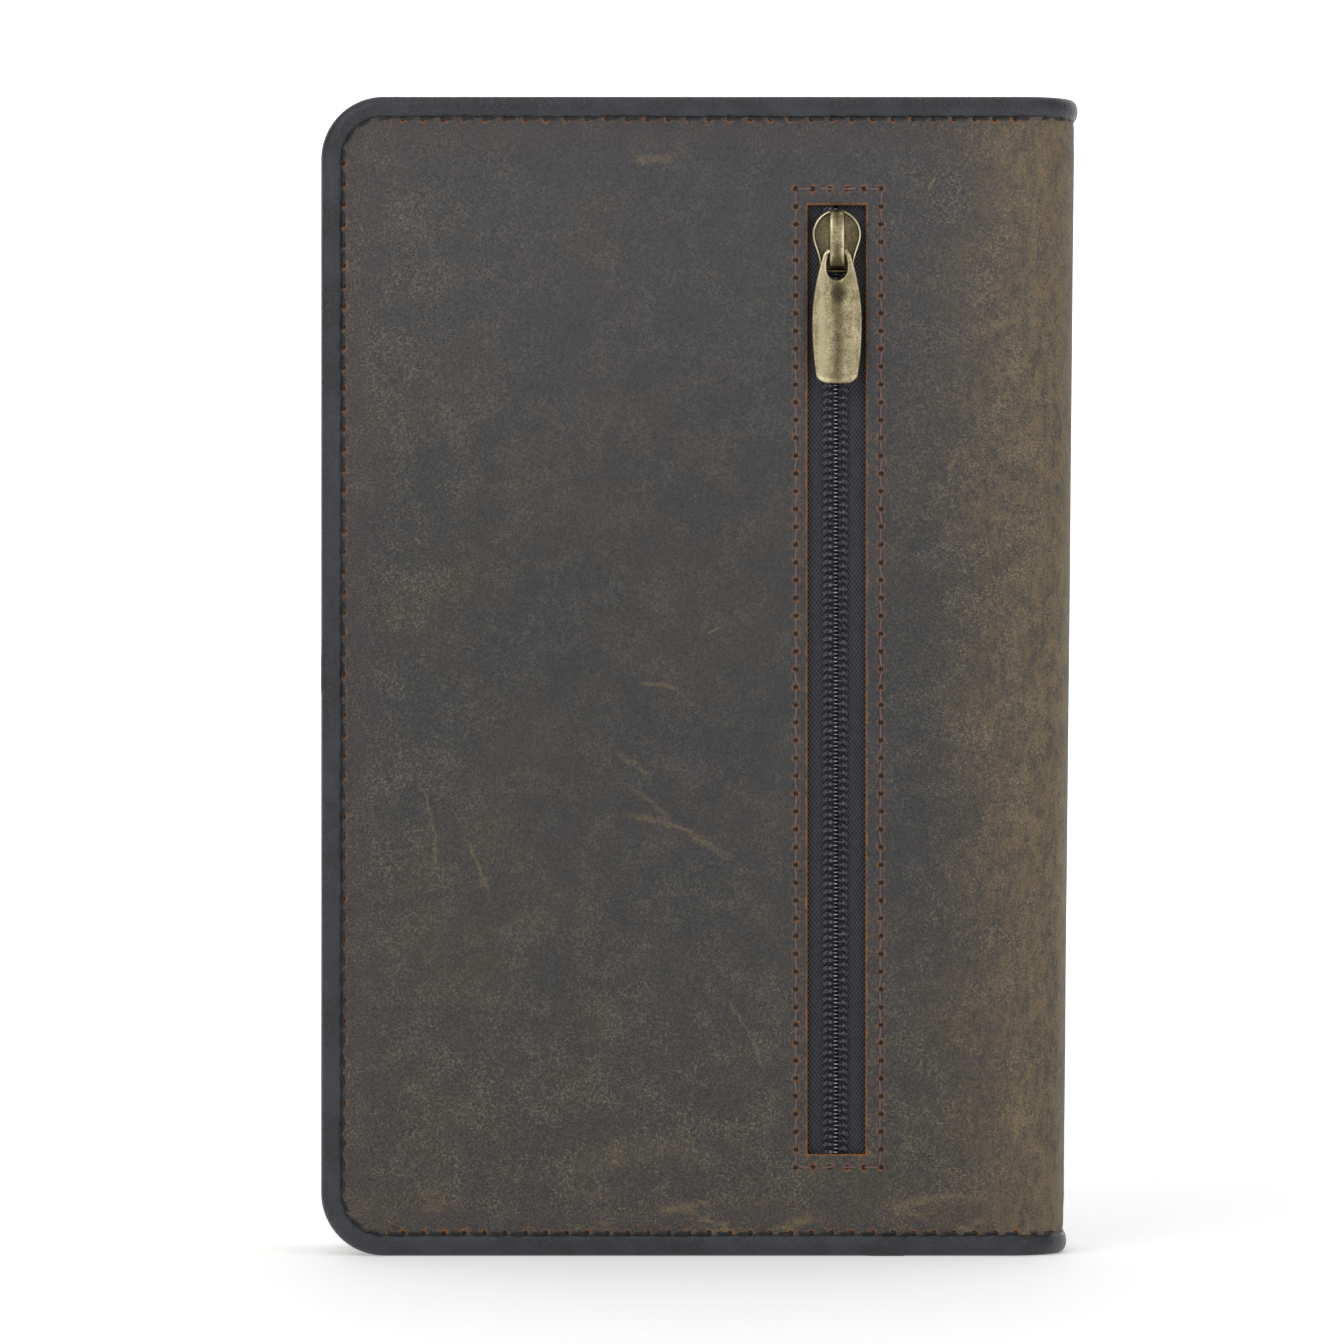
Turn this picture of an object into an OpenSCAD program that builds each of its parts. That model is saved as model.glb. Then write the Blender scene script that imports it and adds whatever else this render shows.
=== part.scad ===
// A soft-bound bible in a slip-on leather jacket with a zip pocket on its back.
// The closed book stands on its tail edge: back cover towards -Y, spine towards +X, head up.
// Units are millimetres. The origin is the middle of the bounding box, at the tail edge.

/* [Jacket] */
// Width of the closed jacket, fore edge to spine
jacket_w = 150; // [130:1:170]
// Height of the jacket, tail to head
jacket_h = 230; // [215:1:250]
// Thickness of the closed jacket over its bindings
jacket_t = 34; // [32:0.5:40]
// Radius of the two fore-edge corners
corner_r = 12.5; // [8:0.5:16]
// Thickness of the outer leather
leather_t = 1.5; // [1.2:0.1:1.8]
// Outer radius of the leather where it turns on to the spine
spine_r = 11; // [10:0.5:12]

/* [Binding] */
// Width of the black binding on each face
binding_w = 4; // [3:0.5:5]
// Thickness of the binding leather
binding_t = 0.7; // [0.5:0.1:0.9]
// Rounding of the binding's outer edges
binding_r = 1.2; // [0.8:0.1:1.4]

/* [Zip pocket] */
// Distance of the zip's centre line from the middle of the jacket
zip_x = 27.3; // [20:0.5:32]
// Width of the window cut in the back leather
window_w = 11.6; // [11:0.2:13]
// Height of the window's lower end above the tail edge
window_low = 20.2; // [18:0.5:30]
// Height of the window's upper end above the tail edge
window_high = 208.4; // [204:0.5:210]
// Pitch of the coil's teeth
coil_pitch = 1.5; // [1.4:0.05:1.8]
// Width of the closed chain
chain_w = 5.6; // [5.4:0.1:6]
// How far the slider runs from closed to open
slider_travel = 170; // [150:1:172]

/* [Pull tab] */
// Greatest width of the pull tab
pull_w = 9.9; // [9:0.1:10.5]
// Length of the pull tab below its hinge
pull_len = 26.2; // [22:0.2:26.4]

/* [Bible] */
// Height of the bible's own cover
cover_h = 209; // [200:1:210]
// Height of the page block
block_h = 204; // [190:1:205]
// Distance from the jacket's fore edge to the bible's cover
cover_inset = 10.5; // [10:0.5:14]
// Distance from the bible's cover to the page edges
page_inset = 3; // [2:0.5:5]
// Width of the inner sleeves that hold the bible's covers
sleeve_w = 80; // [60:5:95]

/* [Stitching] */
// Pitch of the stitches along the binding
edge_pitch = 4.05; // [3:0.05:6]
// Pitch of the stitches round the zip window
zip_pitch = 3.5; // [3:0.05:6]

/* [Hidden] */
$fn = 48;
eps = 0.05;

// Thin layers, from the leather inwards
lining_t = 0.3;
sleeve_t = 0.7;
board_t = 1.2;
endpaper_t = 0.2;
tape_t = 0.5;
pocket_gap = 2.2;
page_gap = 0.2;
edge_stack = leather_t + lining_t + sleeve_t;
binding_thick = edge_stack + 2 * binding_t;
wall_t = 0.8;

// Planes of the jacket, measured from its middle plane
left_x = -jacket_w / 2;
right_x = jacket_w / 2;
half_t = jacket_t / 2;
leather_y = half_t - binding_t;
leather_in = leather_y - leather_t;
lining_edge = leather_in - lining_t;
sleeve_edge = lining_edge - sleeve_t;

// The spine turns about an arc centre; the covers hinge just outside that turn
spine_face = right_x - binding_t;
arc_x = spine_face - spine_r;
arc_y = leather_y - spine_r;
hinge_inset = 2.4;
hinge_x = spine_face - hinge_inset;
hinge_y = leather_y - hinge_inset;
arc_gap = 0.25;
half_turn = 45 - arc_gap;

// Inner layers of the back cover, which holds the pocket
back_lining_y = leather_in - pocket_gap;
back_board_y = back_lining_y - lining_t;
back_paste_y = back_board_y - board_t;
back_sleeve_y = back_paste_y - endpaper_t;
back_fly_y = back_sleeve_y - sleeve_t - page_gap;
back_block_y = back_fly_y - endpaper_t;

// Inner layers of the front cover
front_board_y = lining_edge;
front_paste_y = front_board_y - board_t;
front_sleeve_y = front_paste_y - endpaper_t;
front_fly_y = front_sleeve_y - sleeve_t - page_gap;
front_block_y = front_fly_y - endpaper_t;

// The page block opens at its middle, where the ribbon lies
split_y = (front_block_y - back_block_y) / 2;
split_gap = 0.5;
ribbon_t = 0.3;
ribbon_w = 6;
ribbon_x = 55;
ribbon_tail = 4.5;

// The bible inside the jacket
cover_low = (jacket_h - cover_h) / 2;
block_low = (jacket_h - block_h) / 2;
cover_left = left_x + cover_inset;
cover_right = hinge_x - 7.4;
block_left = cover_left + page_inset;
block_right = hinge_x - 1.9;
mull_t = 0.4;
book_spine_t = 1;
spine_lining_t = lining_t + sleeve_t;
band_r = 1.1;

// The block's back is rounded about this centre
back_r = 16.6;
back_x = block_right - back_r;
mull_half = 7.9;
book_spine_half = 10.7;
lining_rim = 8;
sleeve_rim = 7.4;
riser_t = 0.5;

// Zip and slider
tape_w = 15;
tape_low = 12;
tape_high = 216;
tape_slit = 0.35;
coil_t = 2.1;
slider_l = 12.5;
slider_w = 9.7;
slider_top = window_high - 1;
plate_t = 1.2;
channel_gap = 0.15;
top_plate_y = leather_in + coil_t + channel_gap;
flange_x = chain_w / 2 + 0.4;
post_t = 0.5;
bail_w = 2.9;
bail_t = 0.9;
bail_foot = 1.1;
bail_rise = 1.75;
bail_low = slider_top - 11.6;
bail_high = slider_top - 0.4;
pull_t = 1.4;
pull_z = slider_top - 8.4;
pull_y = top_plate_y + plate_t + 0.85;
bar_r = 0.7;
eye_half = 2.05;
eye_len = 5.5;
eye_top = 1.6;

// Depth that the bail adds in front of the back binding, and the shift that centres the whole
zip_proud = top_plate_y + plate_t + bail_rise + bail_t - half_t;
middle_y = zip_proud / 2;

// Stitches
thread_w = 0.6;
thread_t = 0.4;
stitch_fill = 0.66;
window_seam_left = 8.1;
window_seam_right = 8.8;
window_seam_low = window_low - 2.6;
window_seam_high = window_high + 3.2;

// Colours
hide = [0.27, 0.25, 0.22];
black_hide = [0.16, 0.17, 0.19];
brass = [0.55, 0.48, 0.30];

// ---------- shared shapes ----------

// A flat shape drawn in X and Z, given thickness from y0 to y1
module slab(y0, y1) {
    translate([0, y1, 0]) rotate([90, 0, 0]) linear_extrude(y1 - y0) children();
}

// A rectangle whose two left corners are round
module fore_edge_shape(left, right, low, high, r) {
    translate([left + r, low]) square([right - left - r, high - low]);
    translate([left, low + r]) square([r, high - low - 2 * r]);
    for (z = [low + r, high - r]) translate([left + r, z]) circle(r);
}

// The jacket's outline, taken in by inset on its three bound sides
module jacket_shape(inset, right) {
    fore_edge_shape(left_x + inset, right, inset, jacket_h - inset, max(corner_r - inset, 1));
}

// A thin sheet that leaves the seam at one level and lies at another over the bible
module formed_sheet(edge_y, main_y, t, rim, right) {
    slab(edge_y, edge_y + t) difference() {
        jacket_shape(wall_t, right);
        jacket_shape(rim + riser_t, right + 1);
    }
    slab(main_y, main_y + t) jacket_shape(rim, right);
    slab(edge_y + t, main_y) difference() {
        jacket_shape(rim, right);
        jacket_shape(rim + riser_t, right + 1);
    }
}

// ---------- outer leather ----------

// A layer of the turn on to the spine, swept about the back arc centre
module spine_turn(from, sweep) {
    translate([arc_x, -arc_y, 0]) rotate([0, 0, from]) rotate_extrude(angle = sweep) children();
}

// The leather's section, for the turn
module leather_section() {
    translate([spine_r - leather_t, wall_t]) square([leather_t, jacket_h - 2 * wall_t]);
}

// A cover's leather: the flat panel and its half of the turn
module cover_leather() {
    slab(-leather_y, -leather_in) jacket_shape(wall_t, arc_x);
    spine_turn(270, half_turn) leather_section();
}

// The window is square-cut with slightly eased corners
module zip_window() {
    ease = 0.8;
    low = window_low + ease;
    tall = window_high - window_low - 2 * ease;
    translate([zip_x - window_w / 2, low]) square([window_w, tall]);
    translate([zip_x - window_w / 2 + ease, window_low]) square([window_w - 2 * ease, tall + 2 * ease]);
    for (x = [-1, 1], z = [low, low + tall]) translate([zip_x + x * (window_w / 2 - ease), z]) circle(ease);
}

module back_leather() color(hide) difference() {
    cover_leather();
    slab(-leather_y - 1, -leather_in + 1) zip_window();
}

module front_leather() color(hide) mirror([0, 1, 0]) cover_leather();

// The inside of the jacket's plan, at depth t below the leather's outer face
module spine_plan(t) {
    r = spine_r - t;
    translate([arc_x - 1, -arc_y]) square([1 + r, 2 * arc_y]);
    for (y = [-arc_y, arc_y]) translate([arc_x, y]) circle(r);
}

// A layer of the spine between two depths, cut off half way round each turn
module spine_layer(t0, t1) {
    far = 30;
    a = half_turn;
    translate([0, 0, wall_t]) linear_extrude(jacket_h - 2 * wall_t) intersection() {
        difference() {
            spine_plan(t0);
            spine_plan(t1);
        }
        polygon([[arc_x, -arc_y], [arc_x + far * cos(a), -arc_y - far * sin(a)], [arc_x + far, 0],
            [arc_x + far * cos(a), arc_y + far * sin(a)], [arc_x, arc_y]]);
    }
}

module spine_leather() color(hide) spine_layer(0, leather_t);

// ---------- black binding ----------

// Section of the folded binding: u runs in from the edge, v through its thickness
module binding_section() difference() {
    union() {
        translate([binding_r, 0]) square([binding_w - binding_r, binding_thick]);
        translate([0, binding_r]) square([binding_r, binding_thick - 2 * binding_r]);
        for (v = [binding_r, binding_thick - binding_r]) translate([binding_r, v]) circle(binding_r);
    }
    translate([wall_t, binding_t]) square([binding_w, edge_stack]);
}

// One fore-edge corner of the binding, from the given direction
module binding_corner(z, from) {
    translate([left_x + corner_r, -half_t, z]) rotate([-90, 0, 0]) rotate([0, 0, from])
        rotate_extrude(angle = 90) translate([corner_r, 0]) mirror([1, 0]) binding_section();
}

// The binding over the turn: at the head its edge is up, at the tail it is down
module binding_turn(from) {
    spine_turn(from, half_turn) translate([spine_r + binding_t - binding_thick, jacket_h])
        rotate(-90) binding_section();
}

module binding_turn_low(from) {
    spine_turn(from, half_turn) translate([spine_r + binding_t, 0]) rotate(90) binding_section();
}

module cover_binding() {
    run = arc_x - left_x - corner_r;
    translate([left_x + corner_r, -half_t, jacket_h]) rotate([0, 90, 0]) linear_extrude(run) binding_section();
    translate([arc_x, -half_t, 0]) rotate([0, -90, 0]) linear_extrude(run) binding_section();
    translate([left_x, -half_t, corner_r]) linear_extrude(jacket_h - 2 * corner_r) binding_section();
    binding_corner(jacket_h - corner_r, 180);
    binding_corner(corner_r, 90);
    binding_turn(270);
    binding_turn_low(270);
}

module back_binding() color(black_hide) cover_binding();

module front_binding() color(black_hide) mirror([0, 1, 0]) cover_binding();

module spine_head_binding() color(black_hide) {
    translate([right_x - binding_thick, arc_y, jacket_h]) rotate([90, 0, 0])
        linear_extrude(2 * arc_y) rotate(-90) binding_section();
    binding_turn(-half_turn);
    mirror([0, 1, 0]) binding_turn(-half_turn);
}

module spine_tail_binding() color(black_hide) {
    translate([right_x, arc_y, 0]) rotate([90, 0, 0])
        linear_extrude(2 * arc_y) rotate(90) binding_section();
    binding_turn_low(-half_turn);
    mirror([0, 1, 0]) binding_turn_low(-half_turn);
}

// ---------- linings and sleeves ----------

module back_lining() color([0.12, 0.12, 0.13])
    formed_sheet(-leather_in, -back_lining_y, lining_t, lining_rim, arc_x - 1);

module front_lining() color([0.12, 0.12, 0.13])
    slab(lining_edge, leather_in) jacket_shape(wall_t, arc_x - 1);

module back_sleeve() color(hide)
    formed_sheet(-lining_edge, -back_sleeve_y, sleeve_t, sleeve_rim, left_x + sleeve_w);

module front_sleeve() color(hide) mirror([0, 1, 0])
    formed_sheet(-lining_edge, -front_sleeve_y, sleeve_t, sleeve_rim, left_x + sleeve_w);

module spine_lining() color([0.12, 0.12, 0.13]) spine_layer(leather_t, leather_t + spine_lining_t);

// ---------- the bible ----------

// One of the bible's limp covers, between two planes
module book_cover(y0, y1) {
    slab(y0, y1) fore_edge_shape(cover_left, cover_right, cover_low, cover_low + cover_h, 5);
}

// The paper pasted inside a cover
module pastedown(y0, y1) {
    slab(y0, y1) fore_edge_shape(cover_left + 2, cover_right - 1, cover_low + 2, cover_low + cover_h - 2, 4);
}

// Pages, or one endpaper, between two planes; the back edge is rounded
module leaves(y0, y1) {
    intersection() {
        slab(y0 - 1, y1 + 1)
            fore_edge_shape(block_left, block_right + 1, block_low, block_low + block_h, 4);
        linear_extrude(jacket_h) intersection() {
            translate([block_left - 1, y0]) square([block_right - block_left + 2, y1 - y0]);
            union() {
                translate([block_left - 2, y0 - 1]) square([back_x - block_left + 3, y1 - y0 + 2]);
                translate([back_x, split_y]) circle(back_r);
            }
        }
    }
}

// A curved layer on the block's back, from depth t0 to t1, reaching half to either side
module back_layer(t0, t1, half, low, tall) {
    translate([0, 0, low]) linear_extrude(tall) intersection() {
        translate([back_x, split_y]) difference() {
            circle(back_r + t1);
            circle(back_r + t0);
        }
        translate([back_x, split_y - half]) square([back_r + 5, 2 * half]);
    }
}

module back_book_cover() color([0.10, 0.09, 0.09]) book_cover(-back_board_y, -back_paste_y);
module front_book_cover() color([0.10, 0.09, 0.09]) book_cover(front_paste_y, front_board_y);
module back_pastedown() color("ivory") pastedown(-back_paste_y, -back_sleeve_y);
module front_pastedown() color("ivory") pastedown(front_sleeve_y, front_paste_y);
module back_flyleaf() color("ivory") leaves(-back_fly_y, -back_block_y);
module front_flyleaf() color("ivory") leaves(front_block_y, front_fly_y);
module back_text_block() color("wheat") leaves(-back_block_y, split_y - split_gap / 2);
module front_text_block() color("wheat") leaves(split_y + split_gap / 2, front_block_y);

module spine_mull() color("beige") back_layer(0, mull_t, mull_half, block_low, block_h);

module book_spine() color([0.10, 0.09, 0.09])
    back_layer(mull_t + eps, mull_t + eps + book_spine_t, book_spine_half, cover_low, cover_h);

// A rolled band that covers the glued end of the pages
module end_band(z) {
    sweep = 2 * asin(mull_half / (back_r - band_r));
    translate([back_x, split_y, z]) rotate([0, 0, -sweep / 2])
        rotate_extrude(angle = sweep) translate([back_r - band_r, 0]) circle(band_r);
}

module head_band() color("firebrick") end_band(block_low + block_h + band_r + eps);
module tail_band() color("firebrick") end_band(block_low - band_r - eps);

module ribbon_marker() color("firebrick")
    translate([ribbon_x, split_y - split_gap / 2 + eps, block_low - ribbon_tail])
        cube([ribbon_w, ribbon_t, block_h + ribbon_tail]);

// ---------- zip ----------

module zip_tape(side) {
    translate([zip_x + (side < 0 ? -tape_w : tape_slit), -leather_in, tape_low])
        cube([tape_w - tape_slit, tape_t, tape_high - tape_low]);
}

// A comb stands for the coil: its back is the sewn edge, its teeth are the loops
module zip_coil(side) {
    low = window_low + eps;
    teeth = floor((window_high - eps - low) / coil_pitch);
    back_w = 0.9;
    reach = chain_w / 2 - tape_slit;
    outline = concat(
        [[chain_w / 2, low], [chain_w / 2, low + teeth * coil_pitch],
            [chain_w / 2 - back_w, low + teeth * coil_pitch]],
        [for (i = [teeth - 1:-1:0]) for (p = [
            [chain_w / 2 - reach, low + (i + 0.75) * coil_pitch],
            [chain_w / 2 - reach, low + (i + 0.25) * coil_pitch],
            [chain_w / 2 - back_w, low + (i + 0.2) * coil_pitch],
            [chain_w / 2 - back_w, low + (i - 0.2) * coil_pitch]]) if (p[1] >= low) p],
        [[chain_w / 2 - back_w, low]]);
    slab(-leather_in - coil_t, -leather_in) translate([zip_x, 0]) scale([side, 1]) polygon(outline);
}

module zip_tape_left() color("black") zip_tape(-1);
module zip_tape_right() color("black") zip_tape(1);
module zip_coil_left() color([0.15, 0.15, 0.17]) zip_coil(-1);
module zip_coil_right() color([0.15, 0.15, 0.17]) zip_coil(1);

// Crimped stops, hidden inside the pocket behind the ends of the window
module zip_top_stops() color(brass)
    for (side = [-1, 1]) translate([zip_x + side * 2.2 - 1, -leather_in + tape_t, window_high + 2])
        cube([2, 0.8, 4]);

module zip_bottom_stop() color(brass)
    translate([zip_x - 3, -leather_in + tape_t, window_low - 5]) cube([6, 0.8, 3]);

// The slider's plate: a round shoulder that narrows to where the closed chain leaves
module slider_plate_shape() {
    neck_w = slider_w * 0.72;
    shoulder = slider_w / 2;
    translate([0, -shoulder]) circle(shoulder);
    polygon([[-shoulder * 0.94, -shoulder - 1.65], [-neck_w / 2, -slider_l],
        [neck_w / 2, -slider_l], [shoulder * 0.94, -shoulder - 1.65]]);
}

// The flanges beside the chain, which stop short of the tape
module slider_flange_shape() difference() {
    slider_plate_shape();
    translate([-flange_x, -slider_l - 1]) square([2 * flange_x, slider_l + 2]);
}

module slider_body() color(brass) translate([zip_x, 0, slider_top]) {
    slab(-top_plate_y - plate_t, -top_plate_y) slider_plate_shape();
    slab(-top_plate_y, -leather_in - 0.2) slider_flange_shape();
    slab(-leather_in + tape_t + channel_gap, -leather_in + tape_t + channel_gap + plate_t)
        slider_plate_shape();
    slab(-top_plate_y, -leather_in + tape_t + channel_gap)
        translate([-post_t / 2, -4.5]) square([post_t, 3.5]);
}

// The bail bridges the plate along the zip, and the pull's bar runs through it
module slider_bail() color(brass) {
    y = -top_plate_y - plate_t;
    tall = bail_high - bail_low;
    translate([zip_x - bail_w / 2, y - bail_rise - bail_t, bail_low]) difference() {
        cube([bail_w, bail_rise + bail_t, tall]);
        translate([-1, bail_t, bail_foot]) cube([bail_w + 2, bail_rise + 1, tall - 2 * bail_foot]);
    }
}

// Half width of the pull tab at share s of its length: narrow at the eye, fullest low down
function pull_half(s) = pull_w / 2 * (0.47 + 0.53 * pow(sin(90 * min(s / 0.55, 1)), 0.9))
    * (s > 0.55 ? 1 - 0.18 * pow((s - 0.55) / 0.45, 1.8) : 1);

// The eye for the bail widens from the bar down to a round end
module eye_shape() {
    end_z = -eye_len + eye_half;
    polygon([[-eye_top, 0], [eye_top, 0], [eye_half, end_z], [-eye_half, end_z]]);
    translate([0, end_z]) circle(eye_half);
}

module pull_shape() {
    steps = 24;
    corner = 1.2;
    low = pull_len - corner;
    side = [for (i = [0:steps]) [pull_half(i / steps), -low * i / steps]];
    other = [for (i = [steps:-1:0]) [-pull_half(i / steps), -low * i / steps]];
    foot = pull_half(1) - corner;
    difference() {
        union() {
            polygon(concat(side, other));
            translate([-foot, -pull_len]) square([2 * foot, corner + 0.5]);
            for (x = [-foot, foot]) translate([x, -low]) circle(corner);
        }
        eye_shape();
    }
}

// The flat tab, its eye and the round bar that hangs in the bail
module pull_tab() color(brass) translate([zip_x, -pull_y, pull_z]) {
    slab(-pull_t / 2, pull_t / 2) pull_shape();
    translate([-pull_half(0), 0, 0]) rotate([0, 90, 0]) cylinder(r = bar_r, h = 2 * pull_half(0));
}

// ---------- stitching ----------

// One stitch lying on the back leather at x, z, turned to run along angle a
module stitch(x, z, a, pitch) {
    translate([x, -leather_y - thread_t, z]) rotate([0, -a, 0])
        translate([-pitch * stitch_fill / 2, 0, -thread_w / 2]) cube([pitch * stitch_fill, thread_t, thread_w]);
}

// Stitches at an even pitch along a straight line
module stitch_row(x0, z0, x1, z1, pitch) {
    run = norm([x1 - x0, z1 - z0]);
    n = floor(run / pitch);
    for (i = [0:n - 1]) {
        t = (i + 0.5) / n;
        stitch(x0 + (x1 - x0) * t, z0 + (z1 - z0) * t, atan2(z1 - z0, x1 - x0), pitch);
    }
}

// Stitches along the inner edge of a cover's binding
module cover_thread() {
    seam = binding_w + thread_w / 2 + eps;
    r = corner_r - seam;
    turns = 3;
    stitch_row(left_x + corner_r, seam, arc_x, seam, edge_pitch);
    stitch_row(left_x + corner_r, jacket_h - seam, arc_x, jacket_h - seam, edge_pitch);
    stitch_row(left_x + seam, corner_r, left_x + seam, jacket_h - corner_r, edge_pitch);
    for (i = [0:turns - 1]) {
        a = 90 * (i + 0.5) / turns;
        stitch(left_x + corner_r - r * cos(a), jacket_h - corner_r + r * sin(a), 90 - a, edge_pitch);
        stitch(left_x + corner_r - r * cos(a), corner_r - r * sin(a), a - 90, edge_pitch);
    }
}

module back_edge_thread() color("black") cover_thread();
module front_edge_thread() color("black") mirror([0, 1, 0]) cover_thread();

module spine_thread() color("black")
    for (z = [binding_w + eps, jacket_h - binding_w - eps - thread_w])
        for (i = [-1:1]) translate([spine_face, i * 3.6 - 1.3, z]) cube([thread_t, 2.6, thread_w]);

module zip_window_thread() color([0.30, 0.20, 0.17]) {
    left = zip_x - window_seam_left;
    right = zip_x + window_seam_right;
    stitch_row(left, window_seam_low, left, window_seam_high, zip_pitch);
    stitch_row(right, window_seam_low, right, window_seam_high, zip_pitch);
    stitch_row(left + 1, window_seam_low, right - 1, window_seam_low, zip_pitch);
    stitch_row(left + 1, window_seam_high, right - 1, window_seam_high, zip_pitch);
}

// ---------- assembly ----------

translate([0, middle_y, 0]) {
    spine_leather();
    spine_head_binding();
    spine_tail_binding();
    spine_lining();
    spine_thread();
    book_spine();
    spine_mull();
    head_band();
    tail_band();
    front_leather();
    front_binding();
    front_edge_thread();
    front_lining();
    front_sleeve();
    front_book_cover();
    front_pastedown();
    front_flyleaf();
    front_text_block();
    back_leather();
    back_binding();
    back_edge_thread();
    back_lining();
    back_sleeve();
    back_book_cover();
    back_pastedown();
    back_flyleaf();
    back_text_block();
    ribbon_marker();
    zip_tape_left();
    zip_tape_right();
    zip_coil_left();
    zip_coil_right();
    zip_top_stops();
    zip_bottom_stop();
    zip_window_thread();
    slider_body();
    slider_bail();
    pull_tab();
}
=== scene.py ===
"""Looks of a soft-bound bible in a zipped leather jacket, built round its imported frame.

Lengths are millimetres until they reach a mesh, which is in metres. The closed book stands on
its tail edge: the back cover, with the zip, faces -Y, the spine is at +X and the head is up.
"""

from __future__ import annotations

import logging
import math
from dataclasses import dataclass
from enum import Enum
from typing import Any, Callable, Iterable, Sequence

import bmesh
import bpy
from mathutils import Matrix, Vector, noise

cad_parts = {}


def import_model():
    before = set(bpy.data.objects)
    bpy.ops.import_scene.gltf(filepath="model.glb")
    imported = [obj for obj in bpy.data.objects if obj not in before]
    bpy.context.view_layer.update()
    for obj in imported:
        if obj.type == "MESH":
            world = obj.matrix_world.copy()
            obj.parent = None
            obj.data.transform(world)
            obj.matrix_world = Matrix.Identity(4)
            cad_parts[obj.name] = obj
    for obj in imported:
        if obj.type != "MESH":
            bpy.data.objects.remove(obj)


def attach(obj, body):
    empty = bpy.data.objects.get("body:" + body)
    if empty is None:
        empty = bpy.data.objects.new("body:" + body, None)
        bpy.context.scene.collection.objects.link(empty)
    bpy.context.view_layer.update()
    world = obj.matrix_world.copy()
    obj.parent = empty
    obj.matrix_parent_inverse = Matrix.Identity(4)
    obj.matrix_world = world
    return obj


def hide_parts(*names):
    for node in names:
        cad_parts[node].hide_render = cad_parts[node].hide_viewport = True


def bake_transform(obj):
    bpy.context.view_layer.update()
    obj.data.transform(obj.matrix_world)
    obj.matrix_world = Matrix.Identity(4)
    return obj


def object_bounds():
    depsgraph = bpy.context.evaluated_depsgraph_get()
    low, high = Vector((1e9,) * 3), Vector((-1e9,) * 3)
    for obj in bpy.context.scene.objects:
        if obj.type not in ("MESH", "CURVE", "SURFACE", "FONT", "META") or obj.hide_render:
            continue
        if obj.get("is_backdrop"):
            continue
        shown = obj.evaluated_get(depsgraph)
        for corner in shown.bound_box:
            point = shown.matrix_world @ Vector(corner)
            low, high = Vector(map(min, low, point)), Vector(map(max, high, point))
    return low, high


LOG = logging.getLogger("bible")
MM = 0.001

Pair = tuple[float, float]
Point = tuple[float, float, float]
Four = tuple[float, float, float, float]
Colour = Point
Skin = tuple[list[Point], list[list[int]]]
Piece = bpy.types.Object
Material = bpy.types.Material
Socket = bpy.types.NodeSocket


def smooth(low: float, high: float, value: float) -> float:
    """Rise evenly from 0 at low to 1 at high, level at both ends."""
    t = min(max((value - low) / (high - low), 0.0), 1.0)
    return t * t * (3 - 2 * t)


def bell(distance: float, width: float) -> float:
    """Return 1 at no distance, falling off smoothly over about the width."""
    return math.exp(-((distance / width) ** 2))


def wander(x: float, z: float, scale: float, seed: float = 0.0) -> float:
    """Return smooth noise from about -1 to 1 over a plane, with features of the given scale."""
    return noise.noise(Vector((x / scale, z / scale, seed)))


def spread(start: float, stop: float, step: float) -> list[float]:
    """Return evenly spaced values from start to stop, no further apart than step."""
    count = max(1, math.ceil((stop - start) / step - 1e-6))
    return [start + (stop - start) * i / count for i in range(count + 1)]


def linear(text: str) -> Colour:
    """Turn a six-digit screen colour into the linear values that a shader takes."""
    parts = [int(text[i : i + 2], 16) / 255 for i in (0, 2, 4)]
    return tuple(c / 12.92 if c <= 0.04045 else ((c + 0.055) / 1.055) ** 2.4 for c in parts)


class Side(Enum):
    """The two covers of the book, by the sign of the way they face."""

    BACK = -1
    FRONT = 1

    @property
    def word(self) -> str:
        """Return the side's name as used in piece and body names."""
        return "back" if self is Side.BACK else "front"

    @property
    def pages(self) -> str:
        """Return the body of this side's half of the pages."""
        return f"{self.word}_pages"

    @property
    def cover(self) -> str:
        """Return the body of this side's cover."""
        return f"{self.word}_cover"


class End(Enum):
    """The two short ends of the book, by where they are on its height."""

    TAIL = 0
    HEAD = 1

    @property
    def word(self) -> str:
        """Return the end's name as used in piece names."""
        return "tail" if self is End.TAIL else "head"


# ---------------------------------------------------------------- meshes


def add_piece(
    name: str,
    points: Sequence[Sequence[float]],
    faces: Sequence[Sequence[int]],
    materials: Sequence[Material],
    slots: Sequence[int] | None = None,
    sharp_deg: float = 42.0,
    recalculate: bool = True,
) -> Piece:
    """Make a mesh object from points in millimetres.

    Args:
        name: Name of the new piece.
        points: Corner points in millimetres.
        faces: Lists of point numbers.
        materials: Materials of the piece, in slot order.
        slots: Material number of each face, or None when there is only one.
        sharp_deg: Angle above which an edge stays crisp.
        recalculate: Whether the faces are turned to point outwards.

    Returns:
        The new object, at the origin, linked to the scene.
    """
    mesh = bpy.data.meshes.new(name)
    mesh.from_pydata([[c * MM for c in p] for p in points], [], [list(f) for f in faces])
    for material in materials:
        mesh.materials.append(material)
    if slots:
        mesh.polygons.foreach_set("material_index", list(slots))
    mesh.validate()
    if recalculate:
        turned = bmesh.new()
        turned.from_mesh(mesh)
        bmesh.ops.recalc_face_normals(turned, faces=turned.faces)
        turned.to_mesh(mesh)
        turned.free()
    mesh.shade_smooth()
    mesh.set_sharp_from_angle(angle=math.radians(sharp_deg))
    piece = bpy.data.objects.new(name, mesh)
    bpy.context.scene.collection.objects.link(piece)
    return piece


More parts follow.
